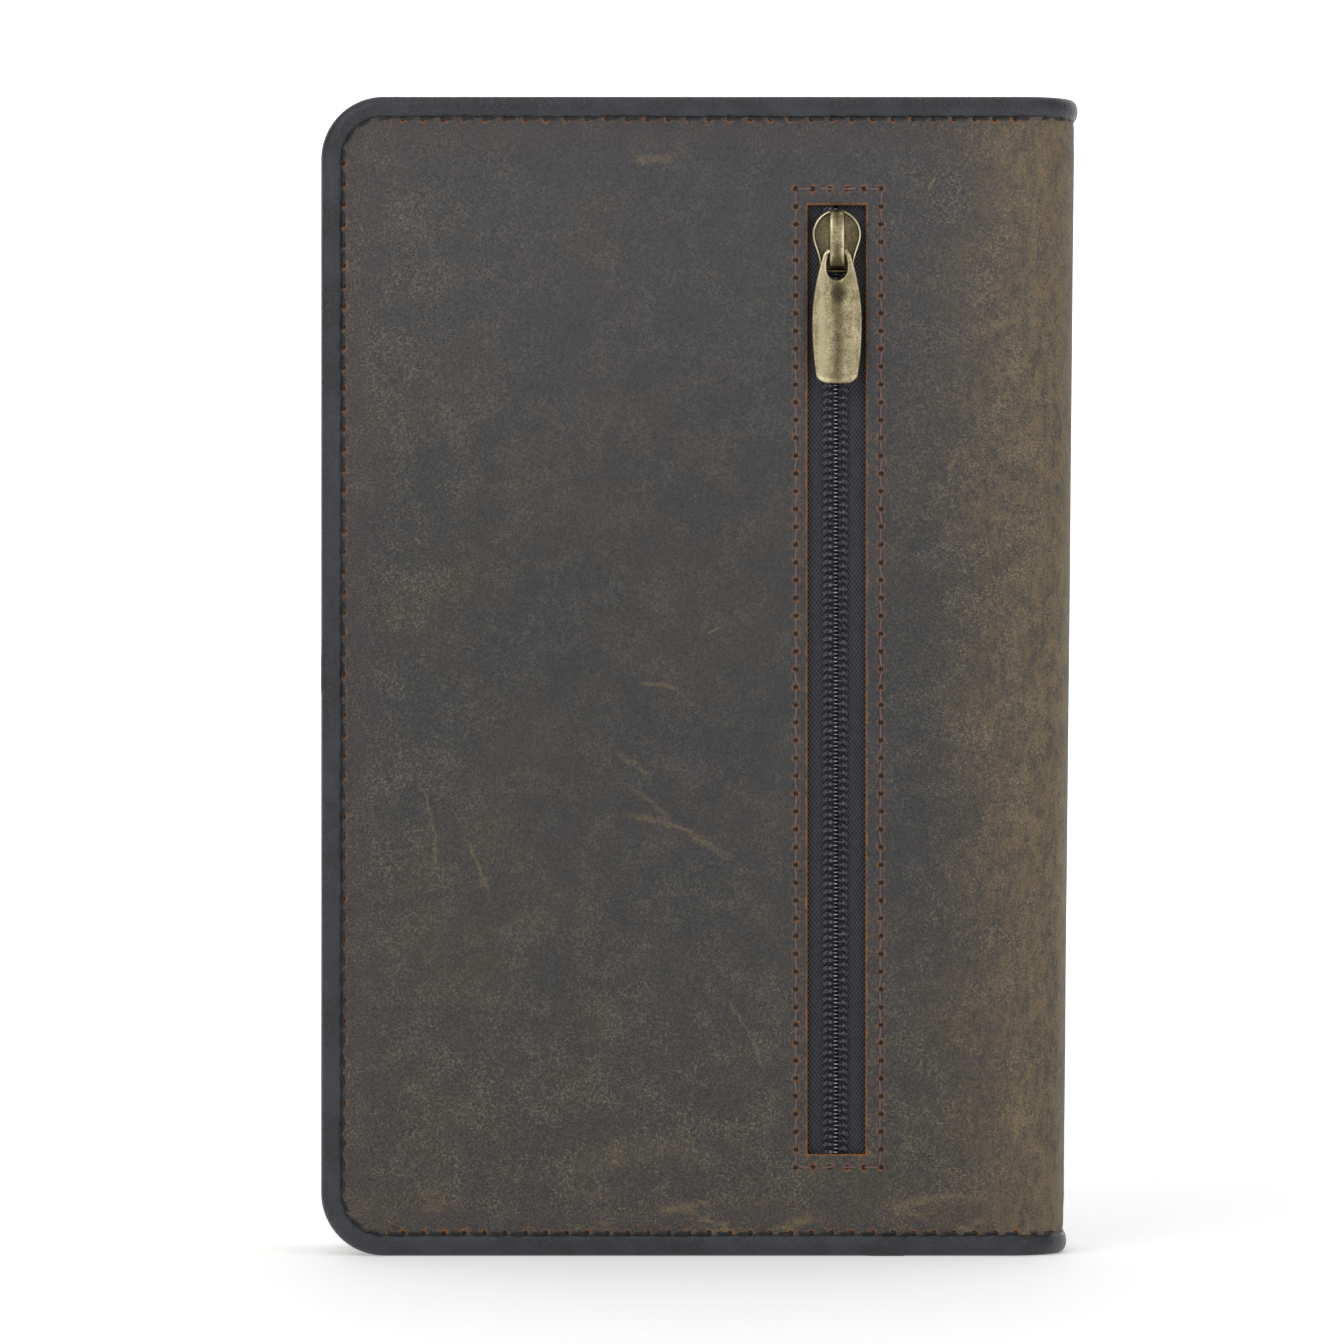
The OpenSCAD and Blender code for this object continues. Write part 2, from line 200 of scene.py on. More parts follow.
def paint(piece: Piece, name: str, values: Iterable[float]) -> None:
    """Store one number for each point of a piece, for its material to read."""
    layer = piece.data.attributes.new(name, "FLOAT", "POINT")
    layer.data.foreach_set("value", list(values))


def keep_rest(piece: Piece) -> Piece:
    """Store each point's place in the closed book, so that patterns stay put when a piece bends.

    Args:
        piece: The piece to work on.

    Returns:
        The finished piece.
    """
    layer = piece.data.attributes.new("rest", "FLOAT_VECTOR", "POINT")
    places = [0.0] * (3 * len(piece.data.vertices))
    piece.data.vertices.foreach_get("co", places)
    layer.data.foreach_set("vector", places)
    return piece


def settle(piece: Piece) -> Piece:
    """Turn a piece's modifiers into plain mesh and remove them.

    Args:
        piece: The piece to work on.

    Returns:
        The finished piece.
    """
    graph = bpy.context.evaluated_depsgraph_get()
    made = bpy.data.meshes.new_from_object(piece.evaluated_get(graph), depsgraph=graph)
    piece.modifiers.clear()
    old, piece.data = piece.data, made
    made.name = piece.name
    bpy.data.meshes.remove(old)
    return piece


def loft(rings: Sequence[Sequence[Point]], capped: bool = True, looped: bool = False) -> Skin:
    """Join rings of equal length into one skin.

    Args:
        rings: Closed rings of points, in order along the path.
        capped: Whether the two end rings are filled.
        looped: Whether the last ring joins the first.

    Returns:
        The points and the faces.
    """
    size, count = len(rings[0]), len(rings)
    points = [tuple(p) for ring in rings for p in ring]
    faces = []
    for i in range(count if looped else count - 1):
        a, b = i * size, ((i + 1) % count) * size
        faces += [[a + j, a + (j + 1) % size, b + (j + 1) % size, b + j] for j in range(size)]
    if capped and not looped:
        faces += [list(range(size))[::-1], list(range((count - 1) * size, count * size))]
    return points, faces


def prism(outline: Sequence[Pair], levels: Sequence[Pair]) -> Skin:
    """Stack an outline in X and Z at several levels in Y, each shrunk by an inset.

    Args:
        outline: The outline's points, anticlockwise in X and Z.
        levels: Pairs of Y and inset, from one end to the other.

    Returns:
        The points and the faces, closed at both ends.
    """
    rings = [[(x, y, z) for x, z in inset_outline(outline, inset)] for y, inset in levels]
    return loft(rings)


def inset_outline(outline: Sequence[Pair], inset: float) -> list[Pair]:
    """Move each point of an anticlockwise outline inwards along its own normal.

    Args:
        outline: Points in X and Z.
        inset: How far inwards.

    Returns:
        The points in order.
    """
    moved, count = [], len(outline)
    for i, (x, z) in enumerate(outline):
        (x0, z0), (x1, z1) = outline[i - 1], outline[(i + 1) % count]
        dx, dz = x1 - x0, z1 - z0
        length = math.hypot(dx, dz) or 1.0
        moved.append((x - dz / length * inset, z + dx / length * inset))
    return moved


# ---------------------------------------------------------------- repeats along a path


class PathRepeat:
    """Geometry Nodes that set copies of one small shape along a path at an even pitch."""

    INPUTS = (
        ("Path", "NodeSocketGeometry"),
        ("Shape", "NodeSocketObject"),
        ("Pitch", "NodeSocketFloat"),
        ("Outward", "NodeSocketVector"),
        ("Tilt", "NodeSocketFloat"),
        ("Seed", "NodeSocketInt"),
        ("Finish", "NodeSocketMaterial"),
    )

    def __init__(self) -> None:
        """Build the node tree once."""
        tree = bpy.data.node_groups.new("repeat_along_path", "GeometryNodeTree")
        for name, kind in self.INPUTS:
            tree.interface.new_socket(name, in_out="INPUT", socket_type=kind)
        tree.interface.new_socket("Mesh", in_out="OUTPUT", socket_type="NodeSocketGeometry")
        graph = Graph(tree)
        given = graph.node("NodeGroupInput").outputs
        curve = graph.node("GeometryNodeMeshToCurve", {"Mesh": given["Path"]}).outputs[0]
        even = graph.node(
            "GeometryNodeResampleCurve", {"Curve": curve, "Length": given["Pitch"]}, mode="LENGTH"
        ).outputs[0]
        along = graph.node("GeometryNodeInputTangent").outputs[0]
        up = graph.node(
            "FunctionNodeAlignRotationToVector", {"Vector": given["Outward"]}, axis="Z"
        ).outputs[0]
        turn = graph.node(
            "FunctionNodeAlignRotationToVector", {"Rotation": up, "Vector": along}, axis="X", pivot_axis="Z"
        ).outputs[0]
        shape = graph.node("GeometryNodeObjectInfo", {"Object": given["Shape"]}).outputs["Geometry"]
        placed = graph.node(
            "GeometryNodeInstanceOnPoints", {"Points": even, "Instance": shape, "Rotation": turn}
        ).outputs[0]
        chance = graph.node("FunctionNodeRandomValue", data_type="FLOAT")
        graph.feed(
            chance.inputs[2],
            graph.node("ShaderNodeMath", {0: given["Tilt"], 1: -1.0}, operation="MULTIPLY").outputs[0]
        )
        graph.feed(chance.inputs[3], given["Tilt"])
        graph.feed(chance.inputs["Seed"], given["Seed"])
        angle = graph.node("ShaderNodeCombineXYZ", {"Z": chance.outputs[1]}).outputs[0]
        leaning = graph.node(
            "GeometryNodeRotateInstances", {"Instances": placed, "Rotation": angle}
        ).outputs[0]
        real = graph.node("GeometryNodeRealizeInstances", {"Geometry": leaning}).outputs[0]
        dressed = graph.node(
            "GeometryNodeSetMaterial", {"Geometry": real, "Material": given["Finish"]}
        ).outputs[0]
        graph.feed(graph.node("NodeGroupOutput").inputs[0], dressed)
        self.tree = tree

    def run(
        self,
        name: str,
        paths: Sequence[Sequence[Point]],
        shape: Piece,
        pitch: float,
        finish: Material,
        outward: Point = (0.0, -1.0, 0.0),
        tilt: float = 0.0,
        seed: int = 1,
    ) -> Piece:
        """Lay copies of a shape along paths.

        Args:
            name: Name of the new piece.
            paths: Open lines of points, in millimetres.
            shape: The small shape; its X runs along the path and its Z faces outward.
            pitch: Distance between copies, in millimetres.
            finish: Material of the copies.
            outward: Direction that the shape's Z faces.
            tilt: Largest random lean about the outward direction, in radians.
            seed: Seed of that lean.

        Returns:
            The finished piece as plain mesh.
        """
        points, edges = [], []
        for path in paths:
            edges += [(len(points) + i, len(points) + i + 1) for i in range(len(path) - 1)]
            points += path
        mesh = bpy.data.meshes.new(name)
        mesh.from_pydata([[c * MM for c in p] for p in points], edges, [])
        piece = bpy.data.objects.new(name, mesh)
        bpy.context.scene.collection.objects.link(piece)
        modifier = piece.modifiers.new("repeat", "NODES")
        modifier.node_group = self.tree
        values = {
            "Shape": shape,
            "Pitch": pitch * MM,
            "Outward": outward,
            "Tilt": tilt,
            "Seed": seed,
            "Finish": finish,
        }
        for item in self.tree.interface.items_tree:
            if item.in_out == "INPUT" and item.name in values:
                modifier[item.identifier] = values[item.name]
        settle(piece)
        piece.data.shade_smooth()
        return piece


def small_shape(
    name: str, points: Sequence[Point], faces: Sequence[Sequence[int]], finish: Material
) -> Piece:
    """Make a small shape for PathRepeat to copy; it isn't rendered itself.

    Args:
        name: What to call it.
        points: Its points.
        faces: Its faces, as point numbers.
        finish: Its material.

    Returns:
        The finished piece.
    """
    shape = add_piece(name, points, faces, [finish], sharp_deg=180)
    shape.hide_render = True
    return shape


def bead(length: float, width: float, height: float, sides: int = 8, steps: int = 6) -> Skin:
    """Return a stitch-like bead: full in the middle and rounded down at both ends.

    Args:
        length: Its length.
        width: Its width.
        height: Its height.
        sides: How many sides a ring has.
        steps: How many steps it is made in.

    Returns:
        The points and the faces.
    """
    rings = []
    for i in range(steps + 1):
        t = -1 + 2 * i / steps
        swell = max(1 - abs(t) ** 3.2, 0.02) ** 0.5
        rings.append(
            [
                (
                    t * length / 2,
                    math.cos(2 * math.pi * j / sides) * width / 2 * swell,
                    math.sin(2 * math.pi * j / sides) * height / 2 * swell,
                )
                for j in range(sides)
            ]
        )
    return loft(rings)


def rod(start: Point, end: Point, half_w: float, half_h: float, sides: int = 6, steps: int = 4) -> Skin:
    """Return a short round-ended rod between two points.

    Args:
        start: Where it starts.
        end: Where it ends.
        half_w: Half its width.
        half_h: Half its height.
        sides: How many sides a ring has.
        steps: How many steps it is made in.

    Returns:
        The points and the faces.
    """
    a, b = Vector(start), Vector(end)
    way = (b - a).normalized()
    across = way.cross(Vector((0.0, 0.0, 1.0))).normalized()
    up = across.cross(way)
    rings = []
    for i in range(steps + 1):
        t = -1 + 2 * i / steps
        swell = max(1 - abs(t) ** 3, 0.12) ** 0.5
        middle = a.lerp(b, (t + 1) / 2)
        ring = []
        for j in range(sides):
            angle = 2 * math.pi * (j + 0.5) / sides
            aside = across * (math.cos(angle) * half_w * swell)
            rise = up * (math.sin(angle) * half_h * swell)
            ring.append(tuple(middle + aside + rise))
        rings.append(ring)
    return loft(rings)


def joined(parts: Sequence[tuple[Sequence[Point], Sequence[Sequence[int]]]]) -> Skin:
    """Put several closed skins into one set of points and faces.

    Args:
        parts: The skins to put together.

    Returns:
        The points and the faces.
    """
    points, faces = [], []
    for own_points, own_faces in parts:
        faces += [[i + len(points) for i in face] for face in own_faces]
        points += own_points
    return points, faces


# ---------------------------------------------------------------- shader graphs


class Graph:
    """A short way to place and join nodes in one tree."""

    def __init__(self, tree: bpy.types.NodeTree) -> None:
        """Remember the tree."""
        self.tree = tree

    def feed(self, socket: Socket, value: Any) -> None:
        """Link a socket to another, or set its constant.

        Args:
            socket: The input to feed.
            value: The value to use.
        """
        if isinstance(value, bpy.types.NodeSocket):
            self.tree.links.new(value, socket)
        elif getattr(socket, "type", "") == "RGBA":
            socket.default_value = (*value[:3], 1.0)
        else:
            socket.default_value = value

    def node(self, kind: str, inputs: dict | None = None, **settings: Any) -> bpy.types.Node:
        """Place a node, set its options, and feed its inputs.

        Args:
            kind: The node's type.
            inputs: Values or sockets by input.
            settings: The node's settings.

        Returns:
            The node.
        """
        made = self.tree.nodes.new(kind)
        for key, value in settings.items():
            setattr(made, key, value)
        for key, value in (inputs or {}).items():
            self.feed(made.inputs[key], value)
        return made

    def math(self, operation: str, a: Any, b: Any = 0.0, c: Any = 0.0) -> Socket:
        """Combine values with one math operation."""
        inputs = {0: a, 1: b, 2: c} if operation in ("MULTIPLY_ADD", "SMOOTH_MIN") else {0: a, 1: b}
        return self.node("ShaderNodeMath", inputs, operation=operation).outputs[0]

    def times(self, a: Any, b: Any) -> Socket:
        """Return a times b."""
        return self.math("MULTIPLY", a, b)

    def scaled(self, a: Any, b: Any, c: Any) -> Socket:
        """Return a times b, plus c."""
        return self.math("MULTIPLY_ADD", a, b, c)

    def plus(self, a: Any, b: Any) -> Socket:
        """Return a plus b."""
        return self.math("ADD", a, b)

    def minus(self, a: Any, b: Any) -> Socket:
        """Return a minus b."""
        return self.math("SUBTRACT", a, b)

    def over(self, a: Any, b: Any) -> Socket:
        """Return a divided by b."""
        return self.math("DIVIDE", a, b)

    def most(self, a: Any, b: Any) -> Socket:
        """Return the larger of two values."""
        return self.math("MAXIMUM", a, b)

    def size(self, a: Any) -> Socket:
        """Return a value without its sign."""
        return self.math("ABSOLUTE", a)

    def above(self, a: Any, b: Any) -> Socket:
        """Return 1 where a is above b, else 0."""
        return self.math("GREATER_THAN", a, b)

    def below(self, a: Any, b: Any) -> Socket:
        """Return 1 where a is below b, else 0."""
        return self.math("LESS_THAN", a, b)

    def mix(self, share: Any, a: Any, b: Any, blend: str = "MIX") -> Socket:
        """Mix two colours by a share.

        Args:
            share: How much of b there is.
            a: The first value.
            b: The second value.
            blend: How the two mix.

        Returns:
            The socket with the result.
        """
        made = self.node("ShaderNodeMix", data_type="RGBA", blend_type=blend)
        for index, value in ((0, share), (6, a), (7, b)):
            self.feed(made.inputs[index], value)
        return made.outputs[2]

    def step(self, value: Any, low: float, high: float, top: float = 1.0, bottom: float = 0.0) -> Socket:
        """Rise smoothly from bottom at low to top at high.

        Args:
            value: The value to use.
            low: Where the rise starts.
            high: Where the rise ends.
            top: Value at high.
            bottom: Value at low.

        Returns:
            The socket with the result.
        """
        made = self.node(
            "ShaderNodeMapRange",
            {"Value": value, "From Min": low, "From Max": high, "To Min": bottom, "To Max": top},
            interpolation_type="SMOOTHSTEP",
        )
        return made.outputs[0]

    def noise(
        self, place: Socket, scale: float, detail: float = 3.0, rough: float = 0.55, warp: float = 0.0
    ) -> Socket:
        """Return a noise value from 0 to 1.

        Args:
            place: Coordinates in millimetres.
            scale: How fine it is.
            detail: How much fine detail.
            rough: How strong the detail is.
            warp: How much it is bent.

        Returns:
            The socket with the result.
        """
        return self.node(
            "ShaderNodeTexNoise",
            {"Vector": place, "Scale": scale, "Detail": detail, "Roughness": rough, "Distortion": warp},
        ).outputs[0]

    def place(
        self, scale: Point = (1.0, 1.0, 1.0), turn: Point = (0.0, 0.0, 0.0), move: Point = (0.0, 0.0, 0.0)
    ) -> Socket:
        """Return places on the closed book in millimetres, then moved, turned and scaled.

        Args:
            scale: Scale on each axis.
            turn: Turn in radians.
            move: Shift in millimetres.

        Returns:
            The socket with the result.
        """
        at = self.node("ShaderNodeAttribute", attribute_name="rest").outputs["Vector"]
        in_mm = tuple(s / MM for s in scale)
        return self.node(
            "ShaderNodeMapping", {"Vector": at, "Location": move, "Rotation": turn, "Scale": in_mm}
        ).outputs[0]

    def parts(self, vector: Socket) -> tuple[Socket, Socket, Socket]:
        """Split a vector into its three values."""
        made = self.node("ShaderNodeSeparateXYZ", {0: vector})
        return made.outputs[0], made.outputs[1], made.outputs[2]

    def use(self, group: bpy.types.NodeTree, **inputs: Any) -> dict[str, Socket]:
        """Place a shared group and return its outputs by name.

        Args:
            group: The shared group.
            inputs: Values or sockets by input.

        Returns:
            The outputs by name.
        """
        made = self.node("ShaderNodeGroup", node_tree=group)
        for key, value in inputs.items():
            self.feed(made.inputs[key.replace("_", " ")], value)
        return {o.name: o for o in made.outputs}

    def bump(self, height: Socket, strength: float, depth_mm: float) -> Socket:
        """Return normals raised by a height."""
        inputs = {"Height": height, "Strength": strength, "Distance": depth_mm * MM}
        return self.node("ShaderNodeBump", inputs).outputs[0]


def shared_group(
    name: str, inputs: dict[str, Any], outputs: Sequence[str],
    fill: Callable[[Graph, dict[str, Socket]], dict[str, Socket]]
) -> bpy.types.NodeTree:
    """Build a shader group once.

    Args:
        name: Name of the group.
        inputs: Default of each input: a number, or a tuple for a vector.
        outputs: Names of the outputs, all plain values.
        fill: Makes the inside and returns the sockets of the outputs.

    Returns:
        The group.
    """
    tree = bpy.data.node_groups.new(name, "ShaderNodeTree")
    for key, value in inputs.items():
        kind = "NodeSocketVector" if isinstance(value, tuple) else "NodeSocketFloat"
        tree.interface.new_socket(key, in_out="INPUT", socket_type=kind).default_value = value
    for key in outputs:
        tree.interface.new_socket(key, in_out="OUTPUT", socket_type="NodeSocketFloat")
    graph = Graph(tree)
    source = graph.node("NodeGroupInput")
    made = fill(graph, {s.name: s for s in source.outputs if s.name})
    sink = graph.node("NodeGroupOutput")
    for key in outputs:
        graph.feed(sink.inputs[key], made[key])
    return tree


@dataclass(frozen=True)
class SharedEffects:
    """Shader groups that more than one finish uses."""

    grain: bpy.types.NodeTree
    holes: bpy.types.NodeTree
    weave: bpy.types.NodeTree
    mark: bpy.types.NodeTree
    rub: bpy.types.NodeTree

    @staticmethod
    def build() -> SharedEffects:
        """Build every shared group.

        Returns:
            The groups.
        """
        return SharedEffects(
            shared_group(
                "hide_grain", {"Place": (0.0, 0.0, 0.0), "Cell": 1.4, "Crease": 0.5}, ["Height", "Pit"],
                SharedEffects._grain
            ),
            shared_group(
                "stitch_holes",
                {
                    "Along": 0.0, "Across": 0.0, "Pitch": 4.0, "Radius": 0.5, "Halo": 1.2,
                    "Place": (0.0, 0.0, 0.0)
                },
                ["Hole", "Ring"],
                SharedEffects._holes,
            ),
            shared_group(
                "cloth_weave", {"Place": (0.0, 0.0, 0.0), "Thread": 0.35}, ["Height", "Shade"],
                SharedEffects._weave
            ),
            shared_group(
                "scuff_mark",
                {
                    "Place": (0.0, 0.0, 0.0), "X": 0.0, "Z": 0.0, "Angle": 0.0, "Length": 10.0,
                    "Width": 1.0, "Broken": 0.5
                },
                ["Mask"],
                SharedEffects._mark,
            ),
            shared_group(
                "rubbed_patches", {"Place": (0.0, 0.0, 0.0), "Size": 0.1, "Cover": 0.5, "Edge": 0.1},
                ["Mask"], SharedEffects._rub
            ),
        )

    @staticmethod
    def _grain(graph: Graph, given: dict[str, Socket]) -> dict[str, Socket]:
        """Pebbles parted by fine creases, with pores.

        Args:
            graph: The node tree to build in.
            given: The group's inputs by name.

        Returns:
            The outputs by name.
        """
        drift = graph.node(
            "ShaderNodeTexNoise", {"Vector": given["Place"], "Scale": 0.9, "Detail": 2.0}
        ).outputs[1]
        bent = graph.node("ShaderNodeVectorMath", {0: given["Place"], 1: drift}, operation="ADD").outputs[0]
        coarse = graph.node(
            "ShaderNodeTexVoronoi", {"Vector": bent, "Scale": given["Cell"]}, feature="DISTANCE_TO_EDGE"
        ).outputs["Distance"]
        finer = graph.times(given["Cell"], 2.3)
        fine = graph.node(
            "ShaderNodeTexVoronoi", {"Vector": bent, "Scale": finer}, feature="F1"
        ).outputs["Distance"]
        crease = graph.times(graph.step(coarse, 0.0, 0.22), given["Crease"])
        height = graph.scaled(fine, -0.5, crease)
        pit = graph.step(fine, 0.16, 0.05)
        return {"Height": height, "Pit": pit}

    @staticmethod
    def _holes(graph: Graph, given: dict[str, Socket]) -> dict[str, Socket]:
        """A row of needle holes, each with a stretched ring round it.

        Args:
            graph: The node tree to build in.
            given: The group's inputs by name.

        Returns:
            The outputs by name.
        """
        share = graph.math("FRACT", graph.over(given["Along"], given["Pitch"]))
        along = graph.times(graph.minus(share, 0.5), given["Pitch"])
        across = given["Across"]
        square = graph.plus(graph.times(along, along), graph.times(across, across))
        wobble = graph.scaled(graph.noise(given["Place"], 2.3, 2.0), 0.9, 0.55)
        away = graph.times(graph.math("SQRT", square), wobble)
        hole = graph.minus(1.0, graph.step(graph.over(away, given["Radius"]), 0.6, 1.15))
        ring = graph.minus(1.0, graph.step(graph.over(away, given["Halo"]), 0.35, 1.0))
        return {"Hole": hole, "Ring": ring}

    @staticmethod
    def _weave(graph: Graph, given: dict[str, Socket]) -> dict[str, Socket]:
        """A plain weave of warp and weft; its second output is random tone with painted light, the raised
        crests lighter than the dips.

        Args:
            graph: The node tree to build in.
            given: The group's inputs by name.

        Returns:
            The outputs by name.
        """
        x, _, z = graph.parts(given["Place"])
        warp = graph.math("SINE", graph.over(graph.times(x, math.pi), given["Thread"]))
        weft = graph.math("SINE", graph.over(graph.times(z, math.pi), given["Thread"]))
        height = graph.scaled(graph.times(warp, weft), 0.5, 0.5)
        # painted light: the crests of the threads are made lighter and the dips darker, mixed with random
        # tone
        shade = graph.scaled(graph.noise(given["Place"], 2.0, 2.0), 0.5, graph.times(height, 0.5))
        return {"Height": height, "Shade": shade}

    @staticmethod
    def _mark(graph: Graph, given: dict[str, Socket]) -> dict[str, Socket]:
        """One scuff: a soft line with broken strands.

        Args:
            graph: The node tree to build in.
            given: The group's inputs by name.

        Returns:
            The outputs by name.
        """
        x, _, z = graph.parts(given["Place"])
        dx, dz = graph.minus(x, given["X"]), graph.minus(z, given["Z"])
        cos, sin = graph.math("COSINE", given["Angle"]), graph.math("SINE", given["Angle"])
        along = graph.plus(graph.times(dx, cos), graph.times(dz, sin))
        across = graph.minus(graph.times(dz, cos), graph.times(dx, sin))
        bow = graph.times(graph.times(along, along), 0.012)
        drift = graph.scaled(graph.noise(given["Place"], 0.35, 2.0), 2.4, -1.2)
        off = graph.size(graph.plus(graph.plus(across, bow), drift))
        body = graph.minus(1.0, graph.step(graph.over(off, given["Width"]), 0.0, 1.0))
        ends = graph.minus(1.0, graph.step(graph.over(graph.size(along), given["Length"]), 0.3, 0.5))
        strands = graph.step(graph.noise(given["Place"], 1.3, 4.0, 0.75), 0.38, 0.62)
        kept = graph.minus(1.0, graph.times(graph.minus(1.0, strands), given["Broken"]))
        return {"Mask": graph.times(graph.times(body, ends), kept)}

    @staticmethod
    def _rub(graph: Graph, given: dict[str, Socket]) -> dict[str, Socket]:
        """Uneven rubbed patches.

        Args:
            graph: The node tree to build in.
            given: The group's inputs by name.

        Returns:
            The outputs by name.
        """
        broad = graph.node(
            "ShaderNodeTexNoise",
            {"Vector": given["Place"], "Scale": given["Size"], "Detail": 5.0, "Roughness": 0.62}
        ).outputs[0]
        low = graph.minus(given["Cover"], given["Edge"])
        high = graph.plus(given["Cover"], given["Edge"])
        made = graph.node(
            "ShaderNodeMapRange", {"Value": broad, "From Min": low, "From Max": high},
            interpolation_type="SMOOTHSTEP"
        )
        return {"Mask": made.outputs[0]}


def new_finish(name: str) -> tuple[Material, Graph, bpy.types.Node]:
    """Start a material and return it with its graph and its surface shader.

    Args:
        name: What to call it.

    Returns:
        The material, its graph and its shader.
    """
    material = bpy.data.materials.new(name)
    material.use_nodes = True
    graph = Graph(material.node_tree)
    return material, graph, material.node_tree.nodes["Principled BSDF"]


# ---------------------------------------------------------------- finishes


@dataclass(frozen=True)
class Scuff:
    """One mark in the hide: its middle, its angle and its size in millimetres."""

    x: float
    z: float
    angle_deg: float
    length: float
    width: float
    strength: float
    broken: float = 0.6


@dataclass(frozen=True)
class SeamRow:
    """One straight row of needle holes in the hide."""

    upright: bool
    at: float
    start: float
    stop: float
    pitch: float
    first: float = 0.0


@dataclass(frozen=True)
class HideFinish:
    """Waxed, distressed hide with a dark cool body and golden wear."""

    dark: Colour = linear("39393c")
    olive: Colour = linear("47423a")
    cool: Colour = linear("48474a")
    plum: Colour = linear("443b3d")
    fleck: Colour = linear("81765b")
    worn: Colour = linear("74634b")
    bare: Colour = linear("978a73")
    tan: Colour = linear("86582e")
    pale_mark: Colour = linear("84734f")
    roughness: float = 0.62
    scuffs: tuple[Scuff, ...] = ()
    seams: tuple[SeamRow, ...] = ()
    spine_wear: float = 1.0
    middle_y: float = 1.95
    opening: Four | None = None

    def make(self, name: str, effects: SharedEffects) -> Material:
        """Build the material.

        Args:
            name: What to call it.
            effects: The shared node groups.

        Returns:
            The finished material.
        """
        material, graph, skin = new_finish(name)
        place = graph.place()
        x, _, z = graph.parts(place)
        patches = graph.noise(place, 0.04, 5.0, 0.68, 0.3)
        mottle = graph.noise(place, 0.16, 6.0, 0.68)
        cloud = graph.noise(place, 0.55, 5.0, 0.72)
        grain = graph.use(effects.grain, Place=place, Cell=1.25, Crease=0.5)
        colour = graph.mix(graph.step(patches, 0.44, 0.66, 0.6), self.dark, self.olive)
        colour = graph.mix(graph.times(graph.step(mottle, 0.5, 0.78), 0.55), colour, self.cool)
        colour = graph.mix(graph.step(z, 130.0, 205.0, 0.5), colour, self.cool)
        low = graph.step(z, 110.0, 8.0, 0.6)
        colour = graph.mix(graph.times(low, graph.step(cloud, 0.34, 0.7)), colour, self.olive)
        colour = self._edge_tint(graph, colour, x, z, cloud)
        colour, spine = self._spine_wear(graph, colour, place, x, z, effects)
        colour = self._flecks(graph, colour, place, mottle, x, z)
        colour = self._marks(graph, colour, place, effects)
        if self.opening:
            colour = self._cut_rim(graph, colour, place, x, z)
        height = graph.scaled(mottle, 0.35, grain["Height"])
        colour, height = self._holes(graph, colour, height, place, effects)
        pits = graph.times(grain["Pit"], 0.35)
        colour = graph.mix(pits, colour, self.dark, "MULTIPLY")
        shine = graph.scaled(mottle, -0.22, self.roughness + 0.12)
        graph.feed(skin.inputs["Base Color"], colour)
        graph.feed(skin.inputs["Roughness"], graph.scaled(spine, 0.08, shine))
        skin.inputs["Specular IOR Level"].default_value = 0.34
        graph.feed(skin.inputs["Normal"], graph.bump(height, 0.62, 0.2))
        return material

    def _edge_tint(self, graph: Graph, colour: Socket, x: Socket, z: Socket, cloud: Socket) -> Socket:
        """Tint the hide towards plum beside the binding.

        Args:
            graph: The node tree to build in.
            colour: The colour so far.
            x: Place along X in millimetres.
            z: Height in millimetres.
            cloud: A soft noise.

        Returns:
            The colour with that on it.
        """
        left = graph.step(x, -60.0, -70.5)
        top = graph.step(z, 216.0, 225.5)
        foot = graph.step(z, 15.0, 5.5)
        near = graph.most(graph.most(left, top), foot)
        share = graph.times(near, graph.step(cloud, 0.3, 0.62))
        return graph.mix(graph.times(share, 0.62), colour, self.plum)

    def _flecks(
        self, graph: Graph, colour: Socket, place: Socket, mottle: Socket, x: Socket, z: Socket
    ) -> Socket:
        """Scatter fine golden flecks and dark pores, thicker in some patches and towards the edges.

        Args:
            graph: The node tree to build in.
            colour: The colour so far.
            place: Coordinates in millimetres.
            mottle: A broad noise.
            x: Place along X in millimetres.
            z: Height in millimetres.

        Returns:
            The colour with that on it.
        """
        fine = graph.noise(place, 2.5, 4.0, 0.76)
        low = graph.most(graph.step(z, 95.0, 15.0), graph.step(x, -28.0, -62.0, 0.7))
        rim = graph.most(low, graph.step(x, 28.0, 66.0, 1.3))
        thick = graph.scaled(rim, 0.6, 0.4)
        field_share = graph.times(graph.step(mottle, 0.4, 0.62, 1.0, 0.3), thick)
        share = graph.times(graph.step(fine, 0.49, 0.66), field_share)
        colour = graph.mix(graph.times(share, 0.85), colour, self.fleck)
        colour = graph.mix(graph.step(fine, 0.5, 0.34, 0.6), colour, (0.016, 0.016, 0.018))
        dust = graph.times(graph.step(graph.noise(place, 3.9, 2.0, 0.6), 0.56, 0.7), thick)
        return graph.mix(graph.times(dust, 0.5), colour, self.fleck)

    def _cut_rim(self, graph: Graph, colour: Socket, place: Socket, x: Socket, z: Socket) -> Socket:
        """Show the raw tan hide along the cut edge of the opening.

        Args:
            graph: The node tree to build in.
            colour: The colour so far.
            place: Coordinates in millimetres.
            x: Place along X in millimetres.
            z: Height in millimetres.

        Returns:
            The colour with that on it.
        """
        left, right, low, high = self.opening
        wide = graph.most(graph.minus(left, x), graph.minus(x, right))
        tall = graph.most(graph.minus(low, z), graph.minus(z, high))
        away = graph.size(graph.most(wide, tall))
        uneven = graph.scaled(graph.noise(place, 0.8, 5.0, 0.75), 1.7, -0.85)
        rim = graph.step(graph.minus(away, uneven), 0.5, 0.1)
        kept = graph.step(graph.noise(place, 0.3, 4.0, 0.7), 0.36, 0.6, 0.95, 0.4)
        return graph.mix(graph.times(rim, kept), colour, self.tan)

